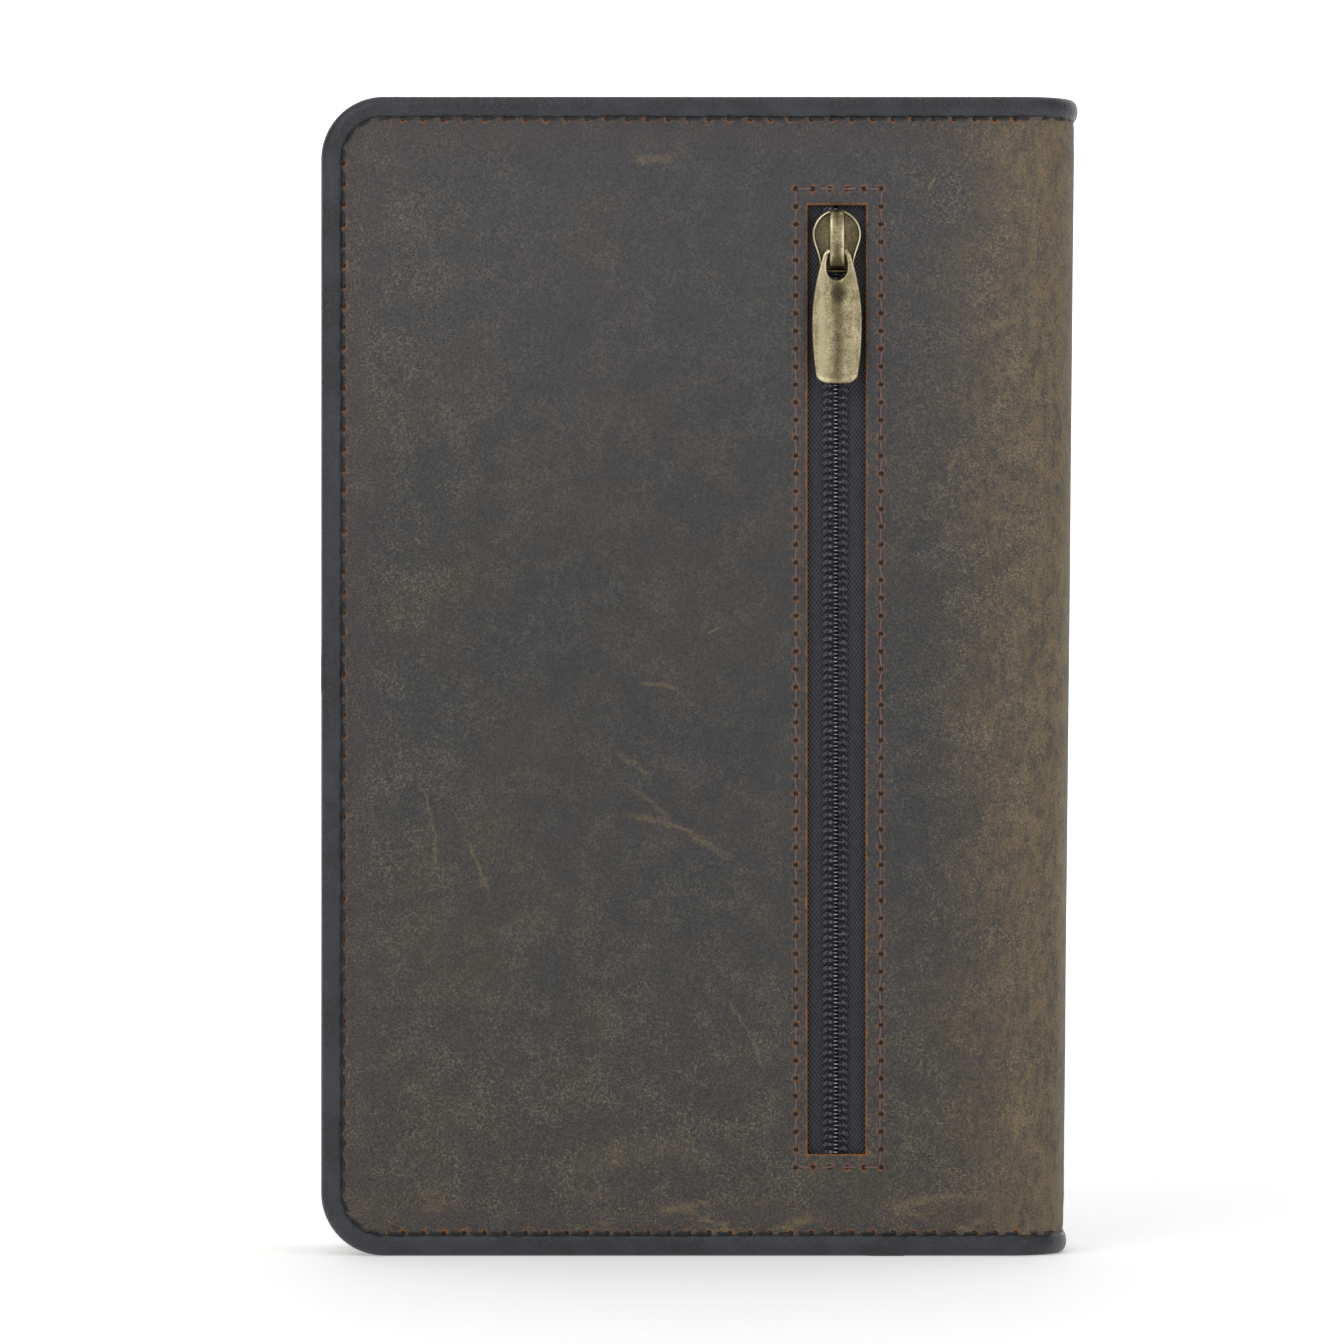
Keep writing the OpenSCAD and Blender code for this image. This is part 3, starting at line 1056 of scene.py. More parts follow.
    def _spine_wear(
        self, graph: Graph, colour: Socket, place: Socket, x: Socket, z: Socket, effects: SharedEffects
    ) -> tuple[Socket, Socket]:
        """Brown, streaked wear towards the spine and bare hide where it turns.

        Args:
            graph: The node tree to build in.
            colour: The colour so far.
            place: Coordinates in millimetres.
            x: Place along X in millimetres.
            z: Height in millimetres.
            effects: The shared node groups.

        Returns:
            The colour, and how bare the hide is.
        """
        streaky = graph.place((1.0, 1.0, 0.45))
        streak = graph.noise(streaky, 0.55, 6.0, 0.74, 0.3)
        broad = graph.noise(place, 0.07, 4.0)
        warm = graph.step(graph.scaled(broad, 22.0, x), 54.0, 84.0, 0.9 * self.spine_wear)
        warm = graph.times(warm, graph.step(streak, 0.36, 0.6, 1.0, 0.2))
        colour = graph.mix(warm, colour, self.worn)
        turn = graph.step(graph.scaled(streak, 3.0, x), 71.5, 76.0)
        lower = graph.step(z, 175.0, 60.0, 0.95, 0.18)
        off_face = graph.size(graph.minus(graph.parts(place)[1], self.middle_y))
        ridge = graph.step(graph.scaled(broad, 9.0, off_face), 10.0, 18.0, 0.8, 0.2)
        bare = graph.times(graph.times(turn, lower), graph.times(ridge, self.spine_wear))
        colour = graph.mix(bare, colour, self.bare)
        golden = graph.step(streak, 0.6, 0.78)
        reach = graph.step(x, 62.0, 70.0, 0.5 * self.spine_wear)
        colour = graph.mix(graph.times(golden, reach), colour, self.pale_mark)
        patch = graph.use(
            effects.rub, Place=graph.place((1.0, 1.0, 2.4)), Size=0.085, Cover=0.62, Edge=0.09
        )["Mask"]
        hem = graph.step(z, 16.0, 5.0, 0.75, 0.0)
        return graph.mix(graph.times(patch, hem), colour, self.pale_mark), bare

    def _marks(self, graph: Graph, colour: Socket, place: Socket, effects: SharedEffects) -> Socket:
        """Add the scuffs one by one.

        Args:
            graph: The node tree to build in.
            colour: The colour so far.
            place: Coordinates in millimetres.
            effects: The shared node groups.

        Returns:
            The colour with that on it.
        """
        for scuff in self.scuffs:
            mark = graph.use(
                effects.mark,
                Place=place,
                X=scuff.x,
                Z=scuff.z,
                Angle=math.radians(scuff.angle_deg),
                Length=scuff.length,
                Width=scuff.width,
                Broken=scuff.broken,
            )["Mask"]
            colour = graph.mix(graph.times(mark, 0.8 * scuff.strength), colour, self.pale_mark)
        return colour

    def _holes(
        self, graph: Graph, colour: Socket, height: Socket, place: Socket, effects: SharedEffects
    ) -> tuple[Socket, Socket]:
        """Punch the needle holes, each ringed with raw tan hide and painted near-black inside as painted
        shade.

        Args:
            graph: The node tree to build in.
            colour: The colour so far.
            height: The height so far.
            place: Coordinates in millimetres.
            effects: The shared node groups.

        Returns:
            The colour and the height with the holes.
        """
        x, _, z = graph.parts(place)
        for seam in self.seams:
            along, across = (z, x) if seam.upright else (x, z)
            made = graph.use(
                effects.holes,
                Along=graph.minus(along, seam.first),
                Across=graph.minus(across, seam.at),
                Pitch=seam.pitch,
                Radius=0.56,
                Halo=1.25,
                Place=place,
            )
            inside = graph.times(graph.above(along, seam.start), graph.below(along, seam.stop)
            )
            ragged = graph.step(graph.noise(place, 0.9, 4.0, 0.75), 0.4, 0.6, 0.95, 0.12)
            ring = graph.times(graph.times(made["Ring"], inside), ragged)
            hole = graph.times(made["Hole"], inside)
            colour = graph.mix(ring, colour, self.tan)
            # painted shade: the needle holes are painted near-black
            colour = graph.mix(hole, colour, linear("17120f"))
            height = graph.minus(height, graph.times(hole, 2.2))
        return colour, height


@dataclass(frozen=True)
class GrainedLeatherFinish:
    """Plain dyed leather: the binding, the sleeves and the book's own cover."""

    body: Colour
    light: Colour
    cell: float = 2.2
    roughness: float = 0.42
    grain_depth: float = 0.10
    coat: float = 0.0
    fuzz: float = 0.0

    def make(self, name: str, effects: SharedEffects) -> Material:
        """Build the material.

        Args:
            name: What to call it.
            effects: The shared node groups.

        Returns:
            The finished material.
        """
        material, graph, skin = new_finish(name)
        place = graph.place()
        grain = graph.use(effects.grain, Place=place, Cell=self.cell, Crease=0.7)
        tone = graph.noise(place, 0.09, 5.0, 0.6)
        rub = graph.use(effects.rub, Place=place, Size=0.35, Cover=0.63, Edge=0.08)["Mask"]
        colour = graph.mix(graph.step(tone, 0.35, 0.68), self.body, self.light)
        colour = graph.mix(graph.times(rub, 0.35), colour, self.light)
        colour = graph.mix(graph.times(grain["Pit"], 0.4), colour, self.body, "MULTIPLY")
        graph.feed(skin.inputs["Base Color"], colour)
        graph.feed(skin.inputs["Roughness"], graph.scaled(tone, 0.24, self.roughness - 0.1))
        skin.inputs["Specular IOR Level"].default_value = 0.42
        skin.inputs["Coat Weight"].default_value = self.coat
        skin.inputs["Coat Roughness"].default_value = 0.35
        skin.inputs["Sheen Weight"].default_value = self.fuzz
        graph.feed(skin.inputs["Normal"], graph.bump(grain["Height"], 0.45, self.grain_depth))
        return material


@dataclass(frozen=True)
class RawEdgeFinish:
    """Cut edge of the hide: undyed tan fibres darkened by wax."""

    tan: Colour = linear("7d4f2a")
    dark: Colour = linear("3a2a20")

    def make(self, name: str) -> Material:
        """Build the material.

        Args:
            name: What to call it.

        Returns:
            The finished material.
        """
        material, graph, skin = new_finish(name)
        place = graph.place()
        fibre = graph.noise(place, 1.6, 5.0, 0.7)
        graph.feed(skin.inputs["Base Color"], graph.mix(graph.step(fibre, 0.36, 0.64), self.dark, self.tan))
        skin.inputs["Roughness"].default_value = 0.85
        skin.inputs["Specular IOR Level"].default_value = 0.2
        graph.feed(skin.inputs["Normal"], graph.bump(fibre, 0.6, 0.2))
        return material


@dataclass(frozen=True)
class ThreadFinish:
    """Twisted sewing thread."""

    body: Colour
    light: Colour
    twist: float = 3.4

    def make(self, name: str) -> Material:
        """Build the material.

        Args:
            name: What to call it.

        Returns:
            The finished material.
        """
        material, graph, skin = new_finish(name)
        place = graph.place(turn=(0.0, math.radians(35), math.radians(20)))
        ply = graph.node(
            "ShaderNodeTexWave", {"Vector": place, "Scale": self.twist, "Distortion": 0.6}, wave_type="BANDS"
        ).outputs[1]
        tone = graph.noise(place, 1.1, 3.0)
        share = graph.times(graph.step(ply, 0.2, 0.9), graph.step(tone, 0.3, 0.7, 1.0, 0.35))
        graph.feed(skin.inputs["Base Color"], graph.mix(share, self.body, self.light))
        skin.inputs["Roughness"].default_value = 0.55
        skin.inputs["Sheen Weight"].default_value = 0.15
        graph.feed(skin.inputs["Normal"], graph.bump(ply, 0.5, 0.08))
        return material


@dataclass(frozen=True)
class ClothFinish:
    """Woven cloth: lining, zip tape, mull and ribbon, with painted light on the crests of the weave."""

    body: Colour
    light: Colour
    thread: float = 0.3
    depth: float = 0.08
    roughness: float = 0.8
    sheen: float = 0.2
    rows: float = 1.0

    def make(self, name: str, effects: SharedEffects) -> Material:
        """Build the material.

        Args:
            name: What to call it.
            effects: The shared node groups.

        Returns:
            The finished material.
        """
        material, graph, skin = new_finish(name)
        place = graph.place((1.0, 1.0, self.rows))
        weave = graph.use(effects.weave, Place=place, Thread=self.thread)
        lint = graph.step(graph.noise(place, 2.8, 4.0, 0.7), 0.62, 0.78, 0.35)
        # painted light: the colour follows the weave's crests, lighter where the threads rise
        colour = graph.mix(graph.step(weave["Shade"], 0.25, 0.78), self.body, self.light)
        graph.feed(skin.inputs["Base Color"], graph.mix(lint, colour, self.light))
        skin.inputs["Roughness"].default_value = self.roughness
        skin.inputs["Sheen Weight"].default_value = self.sheen
        graph.feed(skin.inputs["Normal"], graph.bump(weave["Height"], 0.5, self.depth))
        return material


@dataclass(frozen=True)
class NylonFinish:
    """Glossy drawn nylon of the zip's coils."""

    body: Colour = linear("1d1d21")
    scuffed: Colour = linear("5c5c64")

    def make(self, name: str) -> Material:
        """Build the material.

        Args:
            name: What to call it.

        Returns:
            The finished material.
        """
        material, graph, skin = new_finish(name)
        place = graph.place()
        tone = graph.noise(place, 0.9, 4.0)
        graph.feed(skin.inputs["Base Color"], graph.mix(graph.step(tone, 0.3, 0.8), self.body, self.scuffed))
        graph.feed(skin.inputs["Roughness"], graph.scaled(tone, 0.2, 0.12))
        skin.inputs["Specular IOR Level"].default_value = 0.6
        return material


@dataclass(frozen=True)
class AgedBrassFinish:
    """Antique-plated brass: darker in hollows and bright where it rubs; the rub attribute also holds painted
    highlights and painted shade.
    """

    body: Colour = linear("9c8f68")
    pale: Colour = linear("e2d6b0")
    dark: Colour = linear("352f20")
    roughness: float = 0.36

    def make(self, name: str, effects: SharedEffects) -> Material:
        """Build the material; an attribute named rub brightens edges and darkens hollows, and also carries
        painted highlights and painted shade.

        Args:
            name: What to call it.
            effects: The shared node groups.

        Returns:
            The finished material.
        """
        material, graph, skin = new_finish(name)
        place = graph.place()
        # rub mixes real rubbed edges and patina with painted highlights and painted shade
        rub = graph.node("ShaderNodeAttribute", attribute_name="rub").outputs["Fac"]
        cloud = graph.noise(place, 0.4, 6.0, 0.78)
        speck = graph.noise(place, 3.4, 5.0, 0.8)
        scratch = graph.noise(graph.place((1.0, 1.0, 0.12)), 2.4, 3.0)
        tarnish = graph.use(effects.rub, Place=place, Size=0.8, Cover=0.5, Edge=0.2)["Mask"]
        colour = graph.mix(graph.step(cloud, 0.32, 0.7), self.body, self.pale)
        colour = graph.mix(graph.times(tarnish, 0.3), colour, self.body)
        colour = graph.mix(graph.step(speck, 0.47, 0.6, 0.66), colour, self.dark)
        # painted shade and painted highlights come in here through rub, together with patina and rubbed edges
        colour = graph.mix(graph.step(rub, 0.5, 0.0, 0.9), colour, self.dark)
        colour = graph.mix(graph.step(rub, 0.6, 1.0, 0.75), colour, self.pale)
        graph.feed(skin.inputs["Base Color"], colour)
        skin.inputs["Metallic"].default_value = 1.0
        rough = graph.scaled(speck, 0.3, self.roughness - 0.12)
        graph.feed(skin.inputs["Roughness"], graph.minus(rough, graph.step(rub, 0.6, 1.0, 0.1)))
        height = graph.scaled(scratch, 0.4, speck)
        graph.feed(skin.inputs["Normal"], graph.bump(height, 0.2, 0.06))
        return material


@dataclass(frozen=True)
class PageEdgeFinish:
    """Trimmed edges of many thin leaves, with worn gilding."""

    paper: Colour = linear("d9ceb4")
    shade: Colour = linear("8f7f5c")
    gilt: Colour = linear("c6a052")
    gilding: float = 0.9

    def make(self, name: str, effects: SharedEffects) -> Material:
        """Build the material; the leaves lie flat across Y.

        Args:
            name: What to call it.
            effects: The shared node groups.

        Returns:
            The finished material.
        """
        material, graph, skin = new_finish(name)
        leaf = graph.noise(graph.place((0.05, 7.0, 0.05)), 1.0, 3.0, 0.7)
        group = graph.noise(graph.place((0.012, 1.3, 0.012)), 1.0, 2.0)
        wear = graph.use(
            effects.rub, Place=graph.place((0.25, 1.2, 0.25)), Size=0.3, Cover=0.66, Edge=0.12
        )["Mask"]
        under = graph.mix(graph.step(leaf, 0.35, 0.65), self.shade, self.paper)
        gold = graph.mix(graph.step(leaf, 0.38, 0.62, 0.5), self.gilt, self.shade)
        share = graph.times(graph.minus(1.0, graph.times(wear, 0.4)), self.gilding)
        graph.feed(skin.inputs["Base Color"], graph.mix(share, under, gold))
        graph.feed(skin.inputs["Metallic"], graph.times(share, 0.75))
        graph.feed(skin.inputs["Roughness"], graph.scaled(leaf, 0.3, 0.3))
        height = graph.scaled(group, 1.4, leaf)
        graph.feed(skin.inputs["Normal"], graph.bump(height, 0.5, 0.12))
        return material


@dataclass(frozen=True)
class PaperFinish:
    """Thin printed paper, or plain endpaper; the print is two columns of unreadable lines."""

    paper: Colour = linear("ece5d3")
    ink: Colour = linear("3a3733")
    printed: bool = False
    left: float = -53.0
    right: float = 54.0
    low: float = 24.0
    high: float = 206.0
    line: float = 2.9

    def make(self, name: str) -> Material:
        """Build the material.

        Args:
            name: What to call it.

        Returns:
            The finished material.
        """
        material, graph, skin = new_finish(name)
        place = graph.place()
        fibre = graph.noise(place, 1.2, 4.0)
        foxing = graph.step(graph.noise(place, 0.045, 4.0), 0.5, 0.8, 0.35)
        colour = graph.mix(foxing, self.paper, linear("d8c9a6"))
        if self.printed:
            colour = graph.mix(self._print(graph, place), colour, self.ink)
        graph.feed(skin.inputs["Base Color"], colour)
        skin.inputs["Roughness"].default_value = 0.75
        skin.inputs["Specular IOR Level"].default_value = 0.25
        graph.feed(skin.inputs["Normal"], graph.bump(fibre, 0.12, 0.05))
        return material

    def _print(self, graph: Graph, place: Socket) -> Socket:
        """Return a mask of short dashes on even lines, in two columns.

        Args:
            graph: The node tree to build in.
            place: Coordinates in millimetres.

        Returns:
            The socket with the result.
        """
        x, _, z = graph.parts(place)
        row = graph.over(z, self.line)
        share = graph.math("FRACT", row)
        ink_line = graph.times(graph.step(share, 0.28, 0.36), graph.step(share, 0.66, 0.58))
        number = graph.math("FLOOR", row)
        at = graph.node(
            "ShaderNodeCombineXYZ", {"X": graph.times(x, 0.55), "Y": graph.times(number, 7.3)}
        ).outputs[0]
        words = graph.step(graph.noise(at, 1.0, 1.0), 0.36, 0.44)
        letters = graph.step(graph.noise(at, 5.5, 2.0), 0.36, 0.56, 0.75, 0.25)
        middle = (self.left + self.right) / 2
        columns = 0.0
        for start, stop in ((self.left, middle - 2.5), (middle + 2.5, self.right)):
            one = graph.times(graph.above(x, start), graph.below(x, stop))
            columns = graph.plus(columns, one)
        tall = graph.times(graph.above(z, self.low), graph.below(z, self.high))
        inked = graph.times(graph.times(ink_line, words), letters)
        return graph.times(inked, graph.times(columns, tall))


@dataclass(frozen=True)
class BandFinish:
    """Two-colour thread wound round the end bands."""

    first: Colour = linear("7a1f22")
    second: Colour = linear("d9cfae")
    pitch: float = 1.6

    def make(self, name: str) -> Material:
        """Build the material; the windings follow one another along Y.

        Args:
            name: What to call it.

        Returns:
            The finished material.
        """
        material, graph, skin = new_finish(name)
        place = graph.place()
        _, y, _ = graph.parts(place)
        share = graph.math("FRACT", graph.over(y, self.pitch))
        second = graph.times(graph.step(share, 0.46, 0.5), graph.step(share, 1.0, 0.96))
        colour = graph.mix(second, self.first, self.second)
        fibre = graph.noise(place, 3.0, 3.0)
        graph.feed(skin.inputs["Base Color"], graph.mix(graph.step(fibre, 0.5, 0.9, 0.4), colour, self.first))
        skin.inputs["Roughness"].default_value = 0.6
        skin.inputs["Sheen Weight"].default_value = 0.2
        graph.feed(skin.inputs["Normal"], graph.bump(fibre, 0.3, 0.05))
        return material


# ---------------------------------------------------------------- the jacket's form


def round_corner(u: float, z: float, low: float, high: float, left: float, r: float) -> Pair:
    """Bend a grid's two fore-edge corners round, without moving the rest of the grid.

    Args:
        u: Distance round the leather from the fore edge.
        z: Height in millimetres.
        low: Height of the lower edge.
        high: Height of the upper edge.
        left: Where the fore edge is.
        r: Radius of the corners.

    Returns:
        The pair of values.
    """
    for end, way in ((low + r, -1.0), (high - r, 1.0)):
        a, b = left + r - u, (z - end) * way
        if a > 0 and b > 0:
            pull = max(a, b) / math.hypot(a, b)
            return left + r - a * pull, end + b * pull * way
    return u, z


def closed_sheet(
    name: str,
    us: Sequence[float],
    zs: Sequence[float],
    at: Callable[[float, float, float], Point],
    outer: Callable[[float, float], float],
    inner: Callable[[float, float], float],
    materials: Sequence[Material],
    skip: Callable[[float, float], bool] | None = None,
    rim: Callable[[float, float], bool] | None = None,
    levels: int = 1,
    sharp_deg: float = 42.0,
) -> Piece:
    """Make a closed sheet from a grid.

    Args:
        name: Name of the new piece.
        us: Grid values along the sheet.
        zs: Grid values up the sheet.
        at: Returns the point at u, z and a height out of the sheet.
        outer: Height of the outer face at u and z.
        inner: Height of the inner face at u and z.
        materials: Outer face, inner face, outer rim and, if any, the inner rim.
        skip: Tells whether the cell whose middle is at u and z is left open.
        rim: Tells whether a rim wall at u and z takes the last material.
        levels: Steps through the thickness at a rim.
        sharp_deg: Angle above which an edge stays crisp.

    Returns:
        The new piece.
    """
    points, faces, slots, known = [], [], [], {}

    def number(i: int, j: int, level: int) -> int:
        """Return a point's number in the mesh."""
        key = (i, j, level)
        if key not in known:
            u, z = us[i], zs[j]
            share = level / levels
            out = outer(u, z) * (1 - share) + inner(u, z) * share
            known[key] = len(points)
            points.append(at(u, z, out))
        return known[key]

    cells = {
        (i, j)
        for i in range(len(us) - 1)
        for j in range(len(zs) - 1)
        if not (skip and skip((us[i] + us[i + 1]) / 2, (zs[j] + zs[j + 1]) / 2))
    }
    last = len(materials) - 1
    for i, j in sorted(cells):
        corners = ((i, j), (i + 1, j), (i + 1, j + 1), (i, j + 1))
        faces.append([number(a, b, 0) for a, b in corners])
        faces.append([number(a, b, levels) for a, b in reversed(corners)])
        slots += [0, min(1, last)]
        for side, (di, dj) in enumerate(((0, -1), (1, 0), (0, 1), (-1, 0))):
            if (i + di, j + dj) in cells:
                continue
            (a, b), (c, d) = corners[side], corners[(side + 1) % 4]
            own = rim is not None and rim((us[a] + us[c]) / 2, (zs[b] + zs[d]) / 2)
            for level in range(levels):
                faces.append(
                    [
                        number(c, d, level), number(a, b, level), number(a, b, level + 1),
                        number(c, d, level + 1)
                    ]
                )
                slots.append(last if own else min(2, last))
    return add_piece(name, points, faces, materials, slots, sharp_deg)


@dataclass(frozen=True)
class JacketForm:
    """Sizes of the jacket, and the way its leather runs from the fore edge round to the spine.

    A place on the leather is u, the distance from the fore edge along its outer face, z, the
    height above the tail edge, and out, the height above that face.
    """

    left: float = -75.0
    height: float = 230.0
    leather_y: float = 16.3
    leather_t: float = 1.5
    spine_face: float = 74.3
    turn_r: float = 11.0
    corner_r: float = 12.5
    edge: float = 0.8
    seam: float = 4.45
    middle_y: float = 1.95
    lean_top: float = 0.7
    lean_foot: float = -1.6

    @property
    def flat_end(self) -> float:
        """Return u where the flat cover ends and the turn begins."""
        return self.spine_face - self.turn_r - self.left

    @property
    def mid_turn(self) -> float:
        """Return u half way round the turn, where cover and spine part."""
        return self.flat_end + self.turn_r * math.pi / 4

    @property
    def turn_end(self) -> float:
        """Return u where the turn meets the flat of the spine."""
        return self.flat_end + self.turn_r * math.pi / 2

    @property
    def middle(self) -> float:
        """Return u at the middle of the spine."""
        return self.turn_end + self.leather_y - self.turn_r

    def lean(self, x: float, z: float) -> float:
        """Return how far the soft jacket leans along X near its spine."""
        share = z / self.height
        return smooth(25.0, 70.0, x) * (self.lean_foot * (1 - share) + self.lean_top * share)

    def place(self, u: float, z: float, out: float, side: Side) -> Point:
        """Return the point at a place on one side's leather.

        Args:
            u: Distance round the leather from the fore edge.
            z: Height in millimetres.
            out: Distance out from the middle plane or plain face.
            side: Which half of the book it is for.

        Returns:
            The point.
        """
        sign = side.value
        if u <= self.flat_end:
            x, y = self.left + u, self.leather_y + out
        elif u <= self.turn_end:
            angle = (u - self.flat_end) / self.turn_r
            r = self.turn_r + out
            x = self.spine_face - self.turn_r + r * math.sin(angle)
            y = self.leather_y - self.turn_r + r * math.cos(angle)
        else:
            x, y = self.spine_face + out, self.middle - u
        return (x + self.lean(x, z), sign * y + self.middle_y, z)

    def bound_outline(self, end_u: float, step: float) -> list[Four]:
        """Return the bound outline as u, z and its inward direction, from tail to head.

        Args:
            end_u: Where it ends along the leather.
            step: The longest step.

        Returns:
            The outline's points.
        """
        r, h = self.corner_r, self.height
        path = [(u, 0.0, 0.0, 1.0) for u in reversed(spread(r, end_u, step))]
        turn = spread(0.0, math.pi / 2, step / r)
        path += [(r - r * math.sin(a), r - r * math.cos(a), math.sin(a), math.cos(a)) for a in turn[1:-1]]
        path += [(0.0, z, 1.0, 0.0) for z in spread(r, h - r, step)]
        path += [
            (r - r * math.cos(a), h - r + r * math.sin(a), math.cos(a), -math.sin(a)) for a in turn[1:-1]
        ]
        path += [(u, h, 0.0, -1.0) for u in spread(r, end_u, step)]
        return path

    def hinge_blend(self, piece: Piece, side: Side) -> None:
        """Bake the place of a cover's piece into its mesh.

        Args:
            piece: The piece to work on.
            side: Which half of the book it is for; not used.
        """
        side.pages
        side.cover
        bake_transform(piece)

    def spine_blend(self, piece: Piece, side: Side) -> None:
        """Bake the place of a piece of the spine into its mesh.

        Args:
            piece: The piece to work on.
            side: Which half of the book it is for; not used.
        """
        side.pages
        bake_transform(piece)


@dataclass(frozen=True)
class Window:
    """The opening for the zip and the box of stitches round it."""

    left: float = 21.5
    right: float = 33.1
    low: float = 20.2
    high: float = 208.4
    seam_left: float = 19.2
    seam_right: float = 36.1
    seam_low: float = 17.6
    seam_high: float = 211.6
    pitch: float = 3.5

    def away(self, x: float, z: float) -> float:
        """Return the distance from the opening's edge, outside it.

        Args:
            x: Place along X in millimetres.
            z: Height in millimetres.

        Returns:
            The value in millimetres.
        """
        dx = max(self.left - x, x - self.right, 0.0)
        dz = max(self.low - z, z - self.high, 0.0)
        return math.hypot(dx, dz)

    def seam_away(self, x: float, z: float) -> float:
        """Return the distance from the box of stitches."""
        dx, dz = self.seam_off(x, z)
        return math.hypot(max(dx, 0.0), max(dz, 0.0)) if max(dx, dz) > 0 else -max(dx, dz)

    def seam_off(self, x: float, z: float) -> Pair:
        """Return how far a point is outside the box of stitches, along X and Z."""
        return (max(self.seam_left - x, x - self.seam_right), max(self.seam_low - z, z - self.seam_high))

    def even_pitch(self, length: float) -> float:
        """Return the pitch that divides a seam into whole stitches."""
        return length / round(length / self.pitch)

    def seam_rows(self) -> tuple[SeamRow, ...]:
        """Return the four rows of needle holes.

        Returns:
            The rows.
        """
        tall, wide = self.seam_high - self.seam_low, self.seam_right - self.seam_left
        up, across = self.even_pitch(tall), self.even_pitch(wide)
        slack = 0.9
        rows = [
            SeamRow(True, x, self.seam_low - slack, self.seam_high + slack, up, self.seam_low - up / 2)
            for x in (self.seam_left, self.seam_right)
        ]
        rows += [
            SeamRow(
                False, z, self.seam_left + slack, self.seam_right - slack, across,
                self.seam_left - across / 2
            )
            for z in (self.seam_low, self.seam_high)
        ]
        return tuple(rows)


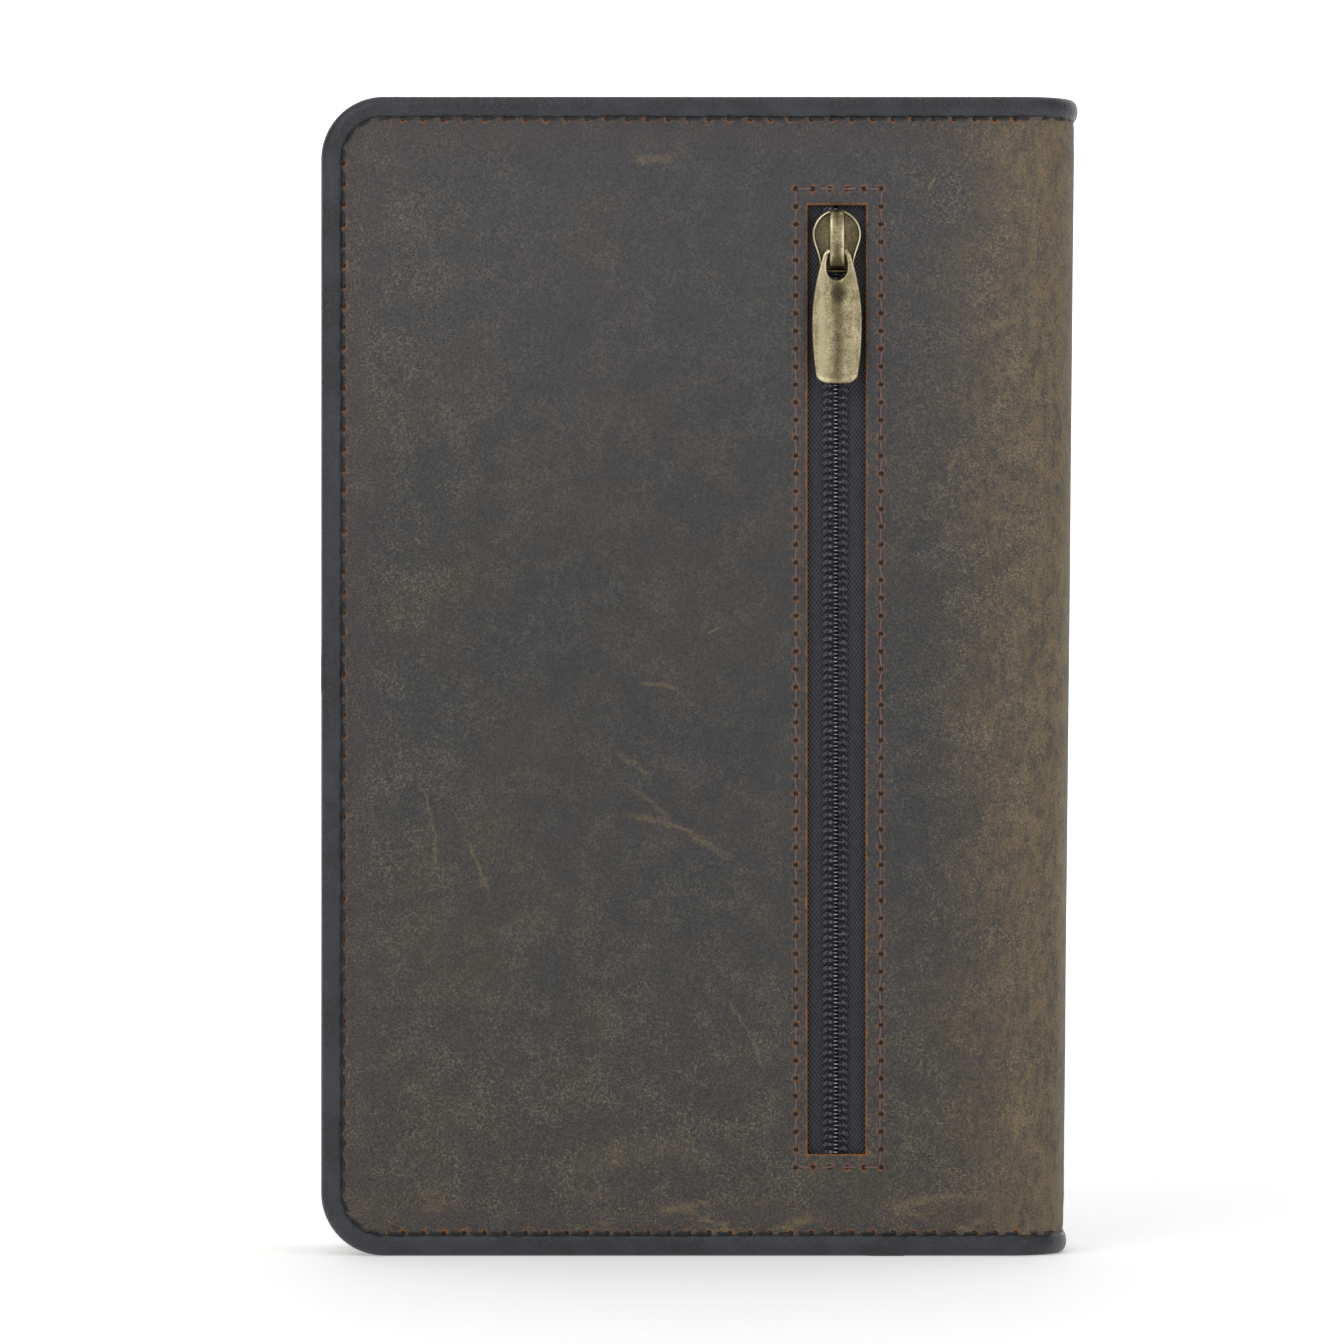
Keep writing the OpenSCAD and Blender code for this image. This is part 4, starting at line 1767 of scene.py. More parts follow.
@dataclass(frozen=True)
class Finishes:
    """Every finished material, by the job it does."""

    back_hide: Material
    front_hide: Material
    flesh: Material
    raw_edge: Material
    binding: Material
    sleeve: Material
    book_cover: Material
    black_thread: Material
    coil_thread: Material
    brown_thread: Material
    lining: Material
    tape: Material
    mull: Material
    ribbon: Material
    nylon: Material
    head: Material
    brass: Material
    page_edge: Material
    endpaper: Material
    print: Material
    band: Material

    @staticmethod
    def build(window: Window, form: JacketForm) -> Finishes:
        """Build every material.

        Args:
            window: The zip's window.
            form: The jacket's sizes.

        Returns:
            Every material.
        """
        effects = SharedEffects.build()
        right = form.spine_face - form.turn_r
        edge_rows = (
            SeamRow(True, form.left + form.seam, form.corner_r, form.height - form.corner_r, 4.05),
            SeamRow(False, form.seam, form.left + form.corner_r, right, 4.05),
            SeamRow(False, form.height - form.seam, form.left + form.corner_r, right, 4.05),
        )
        scuffs = (
            Scuff(-53.0, 86.0, -79.0, 21.0, 0.45, 0.5),
            Scuff(-43.6, 77.0, -68.0, 12.0, 0.55, 0.6),
            Scuff(-13.2, 97.6, -38.0, 9.0, 0.9, 0.5, 0.85),
            Scuff(-3.5, 84.5, -24.0, 26.0, 1.0, 0.6, 0.9),
            Scuff(-9.5, 90.0, -40.0, 14.0, 0.8, 0.4, 0.9),
            Scuff(10.0, 44.0, -62.0, 19.0, 0.4, 0.55),
            Scuff(46.2, 212.7, 62.0, 3.4, 0.7, 0.8, 0.3),
            Scuff(60.5, 185.0, 12.0, 7.0, 1.5, 0.5, 0.9),
            Scuff(50.0, 157.0, 70.0, 3.0, 0.8, 0.7, 0.5),
            Scuff(-9.0, 217.5, 4.0, 9.0, 1.4, 0.6, 0.9),
            Scuff(-8.0, 113.4, -8.0, 9.0, 0.6, 0.55, 0.7),
            Scuff(-13.0, 20.5, 8.0, 34.0, 4.6, 0.2, 0.8),
            Scuff(63.5, 30.0, 78.0, 19.0, 0.7, 0.6),
            Scuff(47.0, 11.6, 6.0, 21.0, 1.0, 0.55, 0.8),
            Scuff(66.0, 60.0, 84.0, 30.0, 1.0, 0.4, 0.8),
            Scuff(2.8, 124.0, 40.0, 2.6, 0.35, 0.8, 0.2),
        )
        front_scuffs = (
            Scuff(-40.0, 150.0, 28.0, 24.0, 0.8, 0.5, 0.8),
            Scuff(12.0, 70.0, -52.0, 17.0, 0.6, 0.55, 0.7),
            Scuff(30.0, 186.0, 10.0, 13.0, 1.4, 0.4, 0.9),
            Scuff(-20.0, 34.0, -14.0, 30.0, 2.2, 0.3, 0.85),
            Scuff(48.0, 116.0, 80.0, 22.0, 0.5, 0.5, 0.7),
        )
        return Finishes(
            back_hide=HideFinish(
                scuffs=scuffs,
                seams=window.seam_rows() + edge_rows,
                opening=(window.left, window.right, window.low, window.high),
            ).make("back hide", effects),
            front_hide=HideFinish(scuffs=front_scuffs, seams=edge_rows).make("front hide", effects),
            flesh=GrainedLeatherFinish(
                linear("3b3028"), linear("54463a"), 3.0, 0.85, 0.06, 0.0, 0.3
            ).make("flesh side", effects),
            raw_edge=RawEdgeFinish().make("raw hide edge"),
            binding=GrainedLeatherFinish(
                linear("1c1d22"), linear("2e3038"), 1.1, 0.36, 0.32, 0.2
            ).make("binding leather", effects),
            sleeve=GrainedLeatherFinish(
                linear("3a2f27"), linear("564638"), 2.2, 0.72, 0.08, 0.0, 0.1
            ).make("sleeve leather", effects),
            book_cover=GrainedLeatherFinish(
                linear("1b1a1b"), linear("2b2a2b"), 1.5, 0.45, 0.12, 0.1
            ).make("book leather", effects),
            black_thread=ThreadFinish(linear("121214"), linear("2c2c2f")).make("black thread"),
            coil_thread=ThreadFinish(linear("2c2c32"), linear("74747e")).make("coil thread"),
            brown_thread=ThreadFinish(linear("5a4245"), linear("8d7274")).make("brown thread"),
            lining=ClothFinish(linear("19191b"), linear("303034"), 0.3).make("lining cloth", effects),
            tape=ClothFinish(
                linear("040406"), linear("34343d"), 0.42, 0.36, 0.55, 0.04, 0.78
            ).make("zip tape cloth", effects),
            mull=ClothFinish(linear("b9b09a"), linear("e0d8c4"), 0.6, 0.12).make("mull cloth", effects),
            ribbon=ClothFinish(
                linear("6a1519"), linear("9c2a2e"), 0.16, 0.04, 0.4, 0.3
            ).make("satin ribbon", effects),
            nylon=NylonFinish().make("coil nylon"),
            # the coil heads use the coil's nylon painted lighter: a painted highlight
            head=NylonFinish(linear("5c5c64"), linear("b4b4bc")).make("polished nylon"),
            brass=AgedBrassFinish().make("aged brass", effects),
            page_edge=PageEdgeFinish().make("gilt page edge", effects),
            endpaper=PaperFinish().make("endpaper"),
            print=PaperFinish(printed=True).make("printed page"),
            band=BandFinish().make("end band silk"),
        )


@dataclass
class Jacket:
    """The slip-on leather jacket: hide, binding, lining, sleeves and their stitches."""

    form: JacketForm
    window: Window
    finishes: Finishes
    repeat: PathRepeat
    grid: float = 1.35
    turn_step: float = 0.6
    binding_step: float = 0.5
    edge_pitch: float = 4.05
    pocket: float = 2.2
    sleeve_w: float = 80.0
    joints_u_z: tuple[Pair, ...] = ((0.0, 112.0), (116.0, 0.0))
    binding_profile: tuple[Pair, ...] = (
        (4.15, -0.34), (4.08, 0.1), (3.85, 0.38), (3.3, 0.6), (2.5, 0.72), (1.7, 0.66),
        (1.0, 0.42), (0.45, 0.02), (0.12, -0.55), (0.0, -1.25), (0.12, -1.95), (0.45, -2.5),
        (1.0, -2.94), (1.7, -3.15), (2.5, -3.2), (3.4, -3.12), (4.0, -2.92), (4.15, -2.62),
        (3.6, -2.52), (0.82, -2.5), (0.8, -1.25), (0.82, 0.0), (3.6, 0.0),
    )

    def build(self) -> list[Piece]:
        """Build every piece of the jacket.

        Returns:
            The finished pieces.
        """
        made = []
        for side in Side:
            made += [
                self.cover_leather(side),
                self.spine_leather(side),
                self.cover_binding(side),
                *self.spine_bindings(side),
                self.edge_thread(side),
                self.spine_thread(side),
                self.lining(side),
                self.spine_lining(side),
                self.sleeve(side),
            ]
        made.append(self.window_thread())
        return made

    def relief(self, u: float, z: float, side: Side) -> float:
        """Return how far the hide stands proud of its plain face.

        Args:
            u: Distance round the leather from the fore edge.
            z: Height in millimetres.
            side: Which half of the book it is for.

        Returns:
            The value in millimetres.
        """
        form, x = self.form, self.form.left + u
        inset = min(u, z, form.height - z)
        out = 0.13 * wander(x, z, 31.0, side.value) + 0.05 * wander(x, z, 9.0, 3.0 + side.value)
        out -= 0.42 * bell(inset - form.seam, 0.75)
        scallop = math.cos(2 * math.pi * (z if inset == u else x) / self.edge_pitch)
        out -= 0.07 * scallop * bell(inset - form.seam - 0.5, 0.8)
        board = min(u - 10.5, z - 10.5, form.height - 10.5 - z)
        out += 0.26 * smooth(-1.6, 1.0, board) + 0.12 * bell(board - 0.2, 0.9)
        if side is Side.BACK:
            away, seam = self.window.away(x, z), self.window.seam_away(x, z)
            beat = math.cos(2 * math.pi * z / self.window.pitch)
            out -= (0.2 + 0.05 * beat) * bell(seam, 0.65)
            out += 0.08 * bell(seam - 2.2, 1.2) - 0.3 * bell(away, 0.3)
        return out * smooth(0.0, 2.0, inset) * (1 - 0.7 * smooth(form.flat_end - 4, form.mid_turn, u))

    def levels_up(self) -> list[float]:
        """Return the grid's heights, finer at the window's two ends.

        Returns:
            The values in order.
        """
        form, window, g = self.form, self.window, self.grid
        fine = (1.6, 0.8, 0.35)
        stops = spread(form.edge, form.corner_r, g) + spread(form.corner_r, window.low - 1.6, g)
        stops += [window.low - f for f in fine] + spread(window.low, window.high, g)
        stops += [window.high + f for f in fine] + spread(window.high + 1.6, form.height - form.corner_r, g)
        stops += spread(form.height - form.corner_r, form.height - form.edge, g)
        return sorted({round(s, 4) for s in stops})

    def levels_along(self) -> list[float]:
        """Return the grid's distances from the fore edge, finer at the window's two sides.

        Returns:
            The values in order.
        """
        form, g = self.form, self.grid
        low, high = self.window.left - form.left, self.window.right - form.left
        fine = (1.6, 0.8, 0.35)
        stops = spread(form.edge, form.corner_r, g) + spread(form.corner_r, low - 1.6, g)
        stops += [low - f for f in fine] + spread(low, high, g) + [high + f for f in fine]
        stops += spread(high + 1.6, form.flat_end, g) + spread(form.flat_end, form.mid_turn, self.turn_step)
        return sorted({round(s, 4) for s in stops})

    def rounded(self, side: Side, inset: float) -> Callable[[float, float, float], Point]:
        """Return a placing function whose fore-edge corners are round.

        Args:
            side: Which half of the book it is for.
            inset: How far inwards.

        Returns:
            The placing function.
        """
        form = self.form

        def at(u: float, z: float, out: float) -> Point:
            """Return where a point of the sheet is."""
            u, z = round_corner(u, z, inset, form.height - inset, inset, form.corner_r - inset)
            return form.place(u, z, out, side)

        return at

    def cover_leather(self, side: Side) -> Piece:
        """Build a cover's hide, with the window on the back.

        Args:
            side: Which half of the book it is for.

        Returns:
            The finished piece.
        """
        form, window, own = self.form, self.window, self.finishes
        back = side is Side.BACK

        def inside(u: float, z: float) -> bool:
            """Say whether a cell lies in the window."""
            x = form.left + u
            return back and window.left < x < window.right and window.low < z < window.high

        def by_window(u: float, z: float) -> bool:
            """Say whether a point is on the rim of the window."""
            return back and window.away(form.left + u, z) < 0.1

        hide = own.back_hide if back else own.front_hide
        piece = closed_sheet(
            f"{side.word}_hide",
            self.levels_along(),
            self.levels_up(),
            self.rounded(side, form.edge),
            lambda u, z: self.relief(u, z, side),
            lambda u, z: -form.leather_t,
            [hide, own.flesh, own.raw_edge],
            skip=inside,
            rim=by_window,
        )
        form.hinge_blend(piece, side)
        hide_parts(f"{side.word}_leather")
        return piece

    def spine_leather(self, side: Side) -> Piece:
        """Build one half of the spine's hide.

        Args:
            side: Which half of the book it is for.

        Returns:
            The finished piece.
        """
        form, own = self.form, self.finishes
        us = spread(
            form.mid_turn, form.turn_end, self.turn_step
        ) + spread(form.turn_end, form.middle, self.grid)[1:]
        piece = closed_sheet(
            f"{side.word}_spine_hide",
            us,
            self.levels_up(),
            lambda u, z, out: form.place(u, z, out, side),
            lambda u, z: self.relief(u, z, side),
            lambda u, z: -form.leather_t,
            [own.back_hide if side is Side.BACK else own.front_hide, own.flesh, own.raw_edge],
        )
        form.spine_blend(piece, side)
        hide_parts("spine_leather")
        return piece

    def binding_rings(self, path: Sequence[Four], side: Side) -> list[list[Point]]:
        """Return the binding's rings along a path of u, z and inward direction.

        Args:
            path: Points as u, z and the inward direction.
            side: Which half of the book it is for.

        Returns:
            The lines of points.
        """
        form, rings, run = self.form, [], 0.0
        for i, (u, z, du, dz) in enumerate(path):
            if i:
                run += math.hypot(u - path[i - 1][0], z - path[i - 1][1])
            full = 1 + 0.16 * wander(u, z, 17.0, 5.0) + 0.06 * wander(u, z, 4.0, 6.0)
            lap = sum(
                0.28 * smooth(-0.35, 0.1, way) * (1 - smooth(4.0, 11.0, way))
                for ju, jz in self.joints_u_z
                for way in [(z - jz) if ju == 0.0 and u < 1 else (ju - u) if jz == 0.0 and z < 1 else -9.0]
            )
            scallop = 0.1 * math.cos(2 * math.pi * run / self.edge_pitch)
            ring = []
            for s, out in self.binding_profile:
                shell = 1.0 if (s < 0.7 or out > 0.05 or out < -2.55) else 0.0
                wide = s + (scallop + 0.12 * wander(u, z, 11.0, 8.0)) * smooth(3.3, 4.1, s) * shell
                lift = out + (0.25 + out) * (full - 1) * (out > -0.3) + lap * shell * (
                    1 if out > -1.25 else -1
                )
                wide = max(wide - lap * 0.6 * (1 - smooth(0.0, 2.2, s)) * shell, 0.0)
                ring.append(form.place(u + wide * du, z + wide * dz, lift, side))
            rings.append(ring)
        return rings

    def cover_binding(self, side: Side) -> Piece:
        """Build the binding round a cover's three edges.

        Args:
            side: Which half of the book it is for.

        Returns:
            The finished piece.
        """
        form = self.form
        path = form.bound_outline(form.mid_turn, self.binding_step)
        piece = add_piece(
            f"{side.word}_edge_binding", *loft(self.binding_rings(path, side)), [self.finishes.binding],
            sharp_deg=70
        )
        form.hinge_blend(piece, side)
        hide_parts(f"{side.word}_binding")
        return piece

    def spine_path(self, end: End, step: float) -> list[Four]:
        """Return the spine's half outline at one end of the book."""
        z, dz = (0.0, 1.0) if end is End.TAIL else (self.form.height, -1.0)
        return [(u, z, 0.0, dz) for u in spread(self.form.mid_turn, self.form.middle, step)]

    def spine_bindings(self, side: Side) -> list[Piece]:
        """Build one half of the binding across the spine, at the head and at the tail.

        Args:
            side: Which half of the book it is for.

        Returns:
            The finished pieces.
        """
        made = []
        for end in End:
            rings = self.binding_rings(self.spine_path(end, self.binding_step), side)
            piece = add_piece(
                f"{side.word}_spine_{end.word}_binding", *loft(rings), [self.finishes.binding], sharp_deg=70
            )
            self.form.spine_blend(piece, side)
            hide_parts(f"spine_{end.word}_binding")
            made.append(piece)
        return made

    def stitch(self, length: float, width: float, height: float, finish: Material) -> Piece:
        """Make the stitch that seams repeat."""
        return small_shape("stitch", *bead(length, width, height), finish)

    def seam_paths(self, path: Sequence[Four], side: Side) -> list[list[Point]]:
        """Return the outer and the inner line of stitches beside the binding.

        Args:
            path: Points as u, z and the inward direction.
            side: Which half of the book it is for.

        Returns:
            The lines of points.
        """
        form = self.form
        inner = -form.leather_t - (1.15 if side is Side.BACK else 1.15)
        lines = []
        for out in (-0.3, inner):
            lines.append(
                [form.place(u + form.seam * du, z + form.seam * dz, out, side) for u, z, du, dz in path]
            )
        return lines

    def edge_thread(self, side: Side) -> Piece:
        """Stitch the binding down round a cover.

        Args:
            side: Which half of the book it is for.

        Returns:
            The finished piece.
        """
        thread = self.finishes.black_thread
        shape = self.stitch(3.0, 0.62, 0.55, thread)
        paths = self.seam_paths(self.form.bound_outline(self.form.mid_turn, 1.0), side)
        outward = (0.0, float(side.value), 0.0)
        piece = self.repeat.run(
            f"{side.word}_edge_stitches", paths, shape, self.edge_pitch, thread, outward, 0.1, 3
        )
        bpy.data.objects.remove(shape)
        self.form.hinge_blend(piece, side)
        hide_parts(f"{side.word}_edge_thread")
        return piece

    def spine_thread(self, side: Side) -> Piece:
        """Stitch the binding down across one half of the spine.

        Args:
            side: Which half of the book it is for.

        Returns:
            The finished piece.
        """
        thread = self.finishes.black_thread
        shape = self.stitch(3.0, 0.62, 0.55, thread)
        paths = []
        for end in End:
            paths += self.seam_paths(self.spine_path(end, 0.6), side)
        piece = self.repeat.run(
            f"{side.word}_spine_stitches", paths, shape, self.edge_pitch, thread, (0.0, 0.0, 1.0), 0.1, 4
        )
        bpy.data.objects.remove(shape)
        self.form.spine_blend(piece, side)
        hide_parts("spine_thread")
        return piece

    def window_thread(self) -> Piece:
        """Stitch the box round the zip window.

        Returns:
            The finished piece.
        """
        form, window, thread = self.form, self.window, self.finishes.brown_thread
        shape = self.stitch(3.1, 0.42, 0.5, thread)
        left, right = window.seam_left - form.left, window.seam_right - form.left
        low, high = window.seam_low, window.seam_high
        lines = []
        half = window.pitch / 2
        for u in (left, right):
            lines.append([(u, z) for z in spread(low + half, high - half, 1.0)])
        for z in (low, high):
            lines.append([(u, z) for u in spread(left + half, right - half, 1.0)])
        paths = [
            [
                form.place(u, z, self.relief(u, z, Side.BACK) + 0.12, Side.BACK) for u, z in line
            ] for line in lines
        ]
        spacing = window.even_pitch(high - low) * 0.999
        piece = self.repeat.run("window_stitches", paths, shape, spacing, thread, (0.0, -1.0, 0.0), 0.16, 7)
        bpy.data.objects.remove(shape)
        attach(piece, Side.BACK.cover)
        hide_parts("zip_window_thread")
        return piece

    def lining(self, side: Side) -> Piece:
        """Build a cover's lining, which forms the back of the pocket behind the zip.

        Args:
            side: Which half of the book it is for.

        Returns:
            The finished piece.
        """
        form = self.form
        drop = self.pocket if side is Side.BACK else 0.0

        def face(u: float, z: float) -> float:
            """Return the height of the face at u and z."""
            inset = min(u, z, form.height - z)
            sunk = smooth(5.2, 8.6, inset) * (1 - smooth(form.flat_end - 1.5, form.mid_turn, u))
            return -form.leather_t - 0.02 - drop * sunk

        us = spread(form.edge, form.flat_end, 2.2) + spread(form.flat_end, form.mid_turn, 1.0)[1:]
        piece = closed_sheet(
            f"{side.word}_lining_cloth",
            us,
            spread(form.edge, form.height - form.edge, 2.2),
            self.rounded(side, form.edge),
            face,
            lambda u, z: face(u, z) - 0.28,
            [self.finishes.lining],
        )
        form.hinge_blend(piece, side)
        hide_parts(f"{side.word}_lining")
        return piece

    def spine_lining(self, side: Side) -> Piece:
        """Build one half of the spine's lining.

        Args:
            side: Which half of the book it is for.

        Returns:
            The finished piece.
        """
        form = self.form
        piece = closed_sheet(
            f"{side.word}_spine_lining_cloth",
            spread(form.mid_turn, form.middle, 1.0),
            spread(form.edge, form.height - form.edge, 4.0),
            lambda u, z, out: form.place(u, z, out, side),
            lambda u, z: -form.leather_t - 0.02,
            lambda u, z: -form.leather_t - 0.9,
            [self.finishes.lining],
        )
        form.spine_blend(piece, side)
        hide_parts("spine_lining")
        return piece

    def sleeve(self, side: Side) -> Piece:
        """Build the inner sleeve that holds the bible's cover.

        Args:
            side: Which half of the book it is for.

        Returns:
            The finished piece.
        """
        form = self.form
        depth = 3.6 if side is Side.BACK else 1.4

        def face(u: float, z: float) -> float:
            """Return the height of the face at u and z."""
            inset = min(u, z, form.height - z)
            bow = 0.05 * wander(u, z, 14.0, 9.0) * smooth(6.0, 12.0, inset)
            return -form.leather_t - 0.32 - depth * smooth(4.8, 7.6, inset) - bow

        piece = closed_sheet(
            f"{side.word}_inner_sleeve",
            spread(form.edge, self.sleeve_w, 1.8),
            spread(form.edge, form.height - form.edge, 1.8),
            self.rounded(side, form.edge),
            face,
            lambda u, z: face(u, z) - 0.66,
            [self.finishes.flesh, self.finishes.sleeve, self.finishes.raw_edge],
        )
        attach(piece, side.cover)
        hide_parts(f"{side.word}_sleeve")
        return piece


# ---------------------------------------------------------------- the bible


@dataclass
class Bible:
    """The book in the jacket: its cover, endpapers, blocks, spine cloth, bands and ribbon."""

    form: JacketForm
    finishes: Finishes
    left: float = -64.5
    low: float = 10.5
    high: float = 219.5
    block_left: float = -61.5
    block_low: float = 13.0
    block_high: float = 217.0
    block_corner: float = 4.0
    split: float = 1.1
    round_x: float = 53.4
    round_r: float = 16.6
    leaf: float = 0.5
    spine_corner: float = 0.5

    def build(self) -> list[Piece]:
        """Build every piece of the bible.

        Returns:
            The finished pieces.
        """
        made = []
        for side in Side:
            made += [
                self.cover(side), self.joint(side), self.pastedown(side), self.flyleaf(side),
                self.block(side)
            ]
        made += [self.mull(), *(self.end_band(end) for end in End), self.ribbon()]
        return made

    def page_blend(self, piece: Piece, side: Side) -> None:
        """Bake the place of a piece of the pages into its mesh.

        Args:
            piece: The piece to work on.
            side: Which half of the book it is for; not used.
        """
        side.pages
        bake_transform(piece)

    def y_of(self, side: Side, out: float) -> float:
        """Return Y at a distance out from the plane where the book opens at its middle."""
        return self.split + self.form.middle_y + side.value * out

    def slab(
        self, name: str, side: Side, box: Four, outs: Pair,
        corner: float, soft: float, finish: Material,
    ) -> Piece:
        """Build a flat piece with round corners and softened edges.

        Args:
            name: Name of the piece.
            side: The side of the book that it belongs to.
            box: Left, right, low and high of the piece.
            outs: The two distances from the middle of the book.
            corner: Radius of the fore-edge corners.
            soft: Rounding of the edges.
            finish: Material of the piece.

        Returns:
            The new piece.
        """
        left, right, low, high = box
        sharp = self.spine_corner
        outline = []
        for cx, cz, r, start in (
            (right - sharp, low + sharp, sharp, -90.0),
            (right - sharp, high - sharp, sharp, 0.0),
            (left + corner, high - corner, corner, 90.0),
            (left + corner, low + corner, corner, 180.0),
        ):
            for i in range(9):
                angle = math.radians(start + 90 * i / 8)
                outline.append((cx + r * math.cos(angle), cz + r * math.sin(angle)))
        a, b = sorted(outs)
        near = soft * 0.35
        levels = [(a, soft), (a + near, near), (a + soft, 0.0), (b - soft, 0.0), (b - near, near), (b, soft)]
        points, faces = prism(outline, levels)
        points = [(x, self.y_of(side, out), z) for x, out, z in points]
        return add_piece(name, points, faces, [finish], sharp_deg=50)

    def cover(self, side: Side) -> Piece:
        """Build one board of the bible's own cover.

        Args:
            side: Which half of the book it is for.

        Returns:
            The finished piece.
        """
        outs = (12.2, 13.4)
        box = (self.left, 61.0, self.low, self.high)
        piece = self.slab(f"{side.word}_board", side, box, outs, 5.0, 0.35, self.finishes.book_cover)
        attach(piece, side.cover)
        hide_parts(f"{side.word}_book_cover")
        return piece

    def joint(self, side: Side) -> Piece:
        """Build the joint of one board and its half of the cover's spine, in one bent sheet.

        Args:
            side: Which half of the book it is for.

        Returns:
            The finished piece.
        """
        r = self.round_r + 0.45
        half = 10.8
        bend = math.asin(half / r)
        rings = []
        path: list[Four] = []
        for angle in spread(0.02, bend, 0.06):
            path.append(
                (self.round_x + r * math.cos(angle), r * math.sin(angle), math.cos(angle), math.sin(angle))
            )
        x0, y0 = path[-1][0], path[-1][1]
        for t in spread(0.0, 1.0, 0.12)[1:]:
            eased = t * t * (3 - 2 * t)
            path.append((x0 - (x0 - 60.6) * t, y0 + (12.25 - y0) * eased, 0.3 * (1 - t), 1.0))
        thick = 1.0
        for x, out, nx, ny in path:
            n = math.hypot(nx, ny)
            nx, ny = nx / n, ny / n
            rings.append(
                [
                    (x, self.y_of(side, out), self.low),
                    (x + nx * thick, self.y_of(side, out + ny * thick), self.low),
                    (x + nx * thick, self.y_of(side, out + ny * thick), self.high),
                    (x, self.y_of(side, out), self.high),
                ]
            )
        piece = add_piece(f"{side.word}_book_back", *loft(rings), [self.finishes.book_cover], sharp_deg=50)
        side.pages
        side.cover
        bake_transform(piece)
        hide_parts("book_spine")
        return piece

    def pastedown(self, side: Side) -> Piece:
        """Build the endpaper pasted to the inside of a board.

        Args:
            side: Which half of the book it is for.

        Returns:
            The finished piece.
        """
        box = (self.left + 2.0, 61.0, self.low + 2.0, self.high - 2.0)
        piece = self.slab(
            f"{side.word}_pasted_endpaper", side, box, (12.02, 12.2), 4.0, 0.02, self.finishes.endpaper
        )
        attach(piece, side.cover)
        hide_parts(f"{side.word}_pastedown")
        return piece

    def along(self) -> list[float]:
        """Return the columns of the pages, close together where they bend."""
        return spread(self.block_left, 40.0, 8.0) + spread(40.0, 70.0, 1.2)[1:]

    def flyleaf(self, side: Side) -> Piece:
        """Build the loose endpaper over a block of pages.

        Args:
            side: Which half of the book it is for.

        Returns:
            The finished piece.
        """
        xs = [x for x in self.along() if x < 66.0]
        zs = spread(self.block_low + 0.2, self.block_high - 0.2, 5.0)

        def at(x: float, z: float, out: float) -> Point:
            """Return where a point of the sheet is."""
            x, z = round_corner(x, z, zs[0], zs[-1], self.block_left, self.block_corner)
            return (x, self.y_of(side, out - self.drop(x, out)), z)

        piece = closed_sheet(
            f"{side.word}_loose_endpaper", xs, zs, at, lambda x, z: 11.05, lambda x, z: 10.92, [
                self.finishes.endpaper
            ]
        )
        self.page_blend(piece, side)
        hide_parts(f"{side.word}_flyleaf")
        return piece

    def drop(self, x: float, out: float) -> float:
        """Return how far the pages are drawn in by the rounded back.

        Args:
            x: Place along X in millimetres.
            out: Distance out from the middle plane or plain face.

        Returns:
            The value in millimetres.
        """
        if x <= self.round_x:
            return 0.0
        reach = math.sqrt(max(self.round_r**2 - (x - self.round_x) ** 2, 0.0))
        return max(0.0, out - reach)

    def block(self, side: Side) -> Piece:
        """Build one half of the pages: a rounded back, a hollow fore edge and fine leaf lines.

        Args:
            side: Which half of the book it is for.

        Returns:
            The finished piece.
        """
        inner, outer = 0.12, 10.85
        outs = spread(inner, outer, self.leaf)
        zs = [self.block_low, *spread(self.block_low + 0.3, self.block_high - 0.3, 6.0), self.block_high]
        points, faces, slots = [], [], []
        rows: list[list[Pair]] = []
        for out in outs:
            hollow = 1.2 * (1 - (out / outer) ** 2) ** 1.0
            back = self.round_x + math.sqrt(self.round_r**2 - out**2)
            row = [(self.block_left + hollow, out)]
            row += [(x, out) for x in self.along()[1:] if x < back - 0.9] + [(back, out)]
            rows.append(row)
        width = max(len(row) for row in rows)
        for row in rows:
            row[-1:] = [row[-1]] * (width - len(row) + 1)
        for k, out in enumerate(outs):
            for j, z in enumerate(zs):
                ripple = 0.09 * (k % 2) + 0.05 * wander(out, z, 1.3, 2.0)
                for i, (x, _) in enumerate(rows[k]):
                    px, pz = round_corner(
                        x, z, self.block_low, self.block_high, self.block_left, self.block_corner
                    )
                    edge = ripple if i == 0 else 0.0
                    top = ripple if j in (0, len(zs) - 1) else 0.0
                    meets = k == 0 and (i == 0 or (j in (0, len(zs) - 1) and not 52.0 < x < 65.0))
                    pz += top if j == 0 else -top
                    points.append((px + edge, self.y_of(side, 0.01 if meets else out), pz))
        count = len(zs)

        def number(k: int, j: int, i: int) -> int:
            """Return a point's number in the mesh."""
            return (k * count + j) * width + i

        for k in range(len(outs) - 1):
            for i in range(width - 1):
                for j in (0, count - 1):
                    faces.append(
                        [number(k, j, i), number(k, j, i + 1), number(k + 1, j, i + 1), number(k + 1, j, i)]
                    )
                    slots.append(0)
            for j in range(count - 1):
                for i in (0, width - 1):
                    faces.append(
                        [number(k, j, i), number(k, j + 1, i), number(k + 1, j + 1, i), number(k + 1, j, i)]
                    )
                    slots.append(0)
        for k, slot in ((0, 1), (len(outs) - 1, 2)):
            for j in range(count - 1):
                for i in range(width - 1):
                    faces.append(
                        [number(k, j, i), number(k, j, i + 1), number(k, j + 1, i + 1), number(k, j + 1, i)]
                    )
                    slots.append(slot)
        own = self.finishes
        piece = add_piece(
            f"{side.word}_leaves", points, faces, [own.page_edge, own.print, own.endpaper], slots, 30, False
        )
        self.weld(piece)
        self.page_blend(piece, side)
        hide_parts(f"{side.word}_text_block")
        return piece

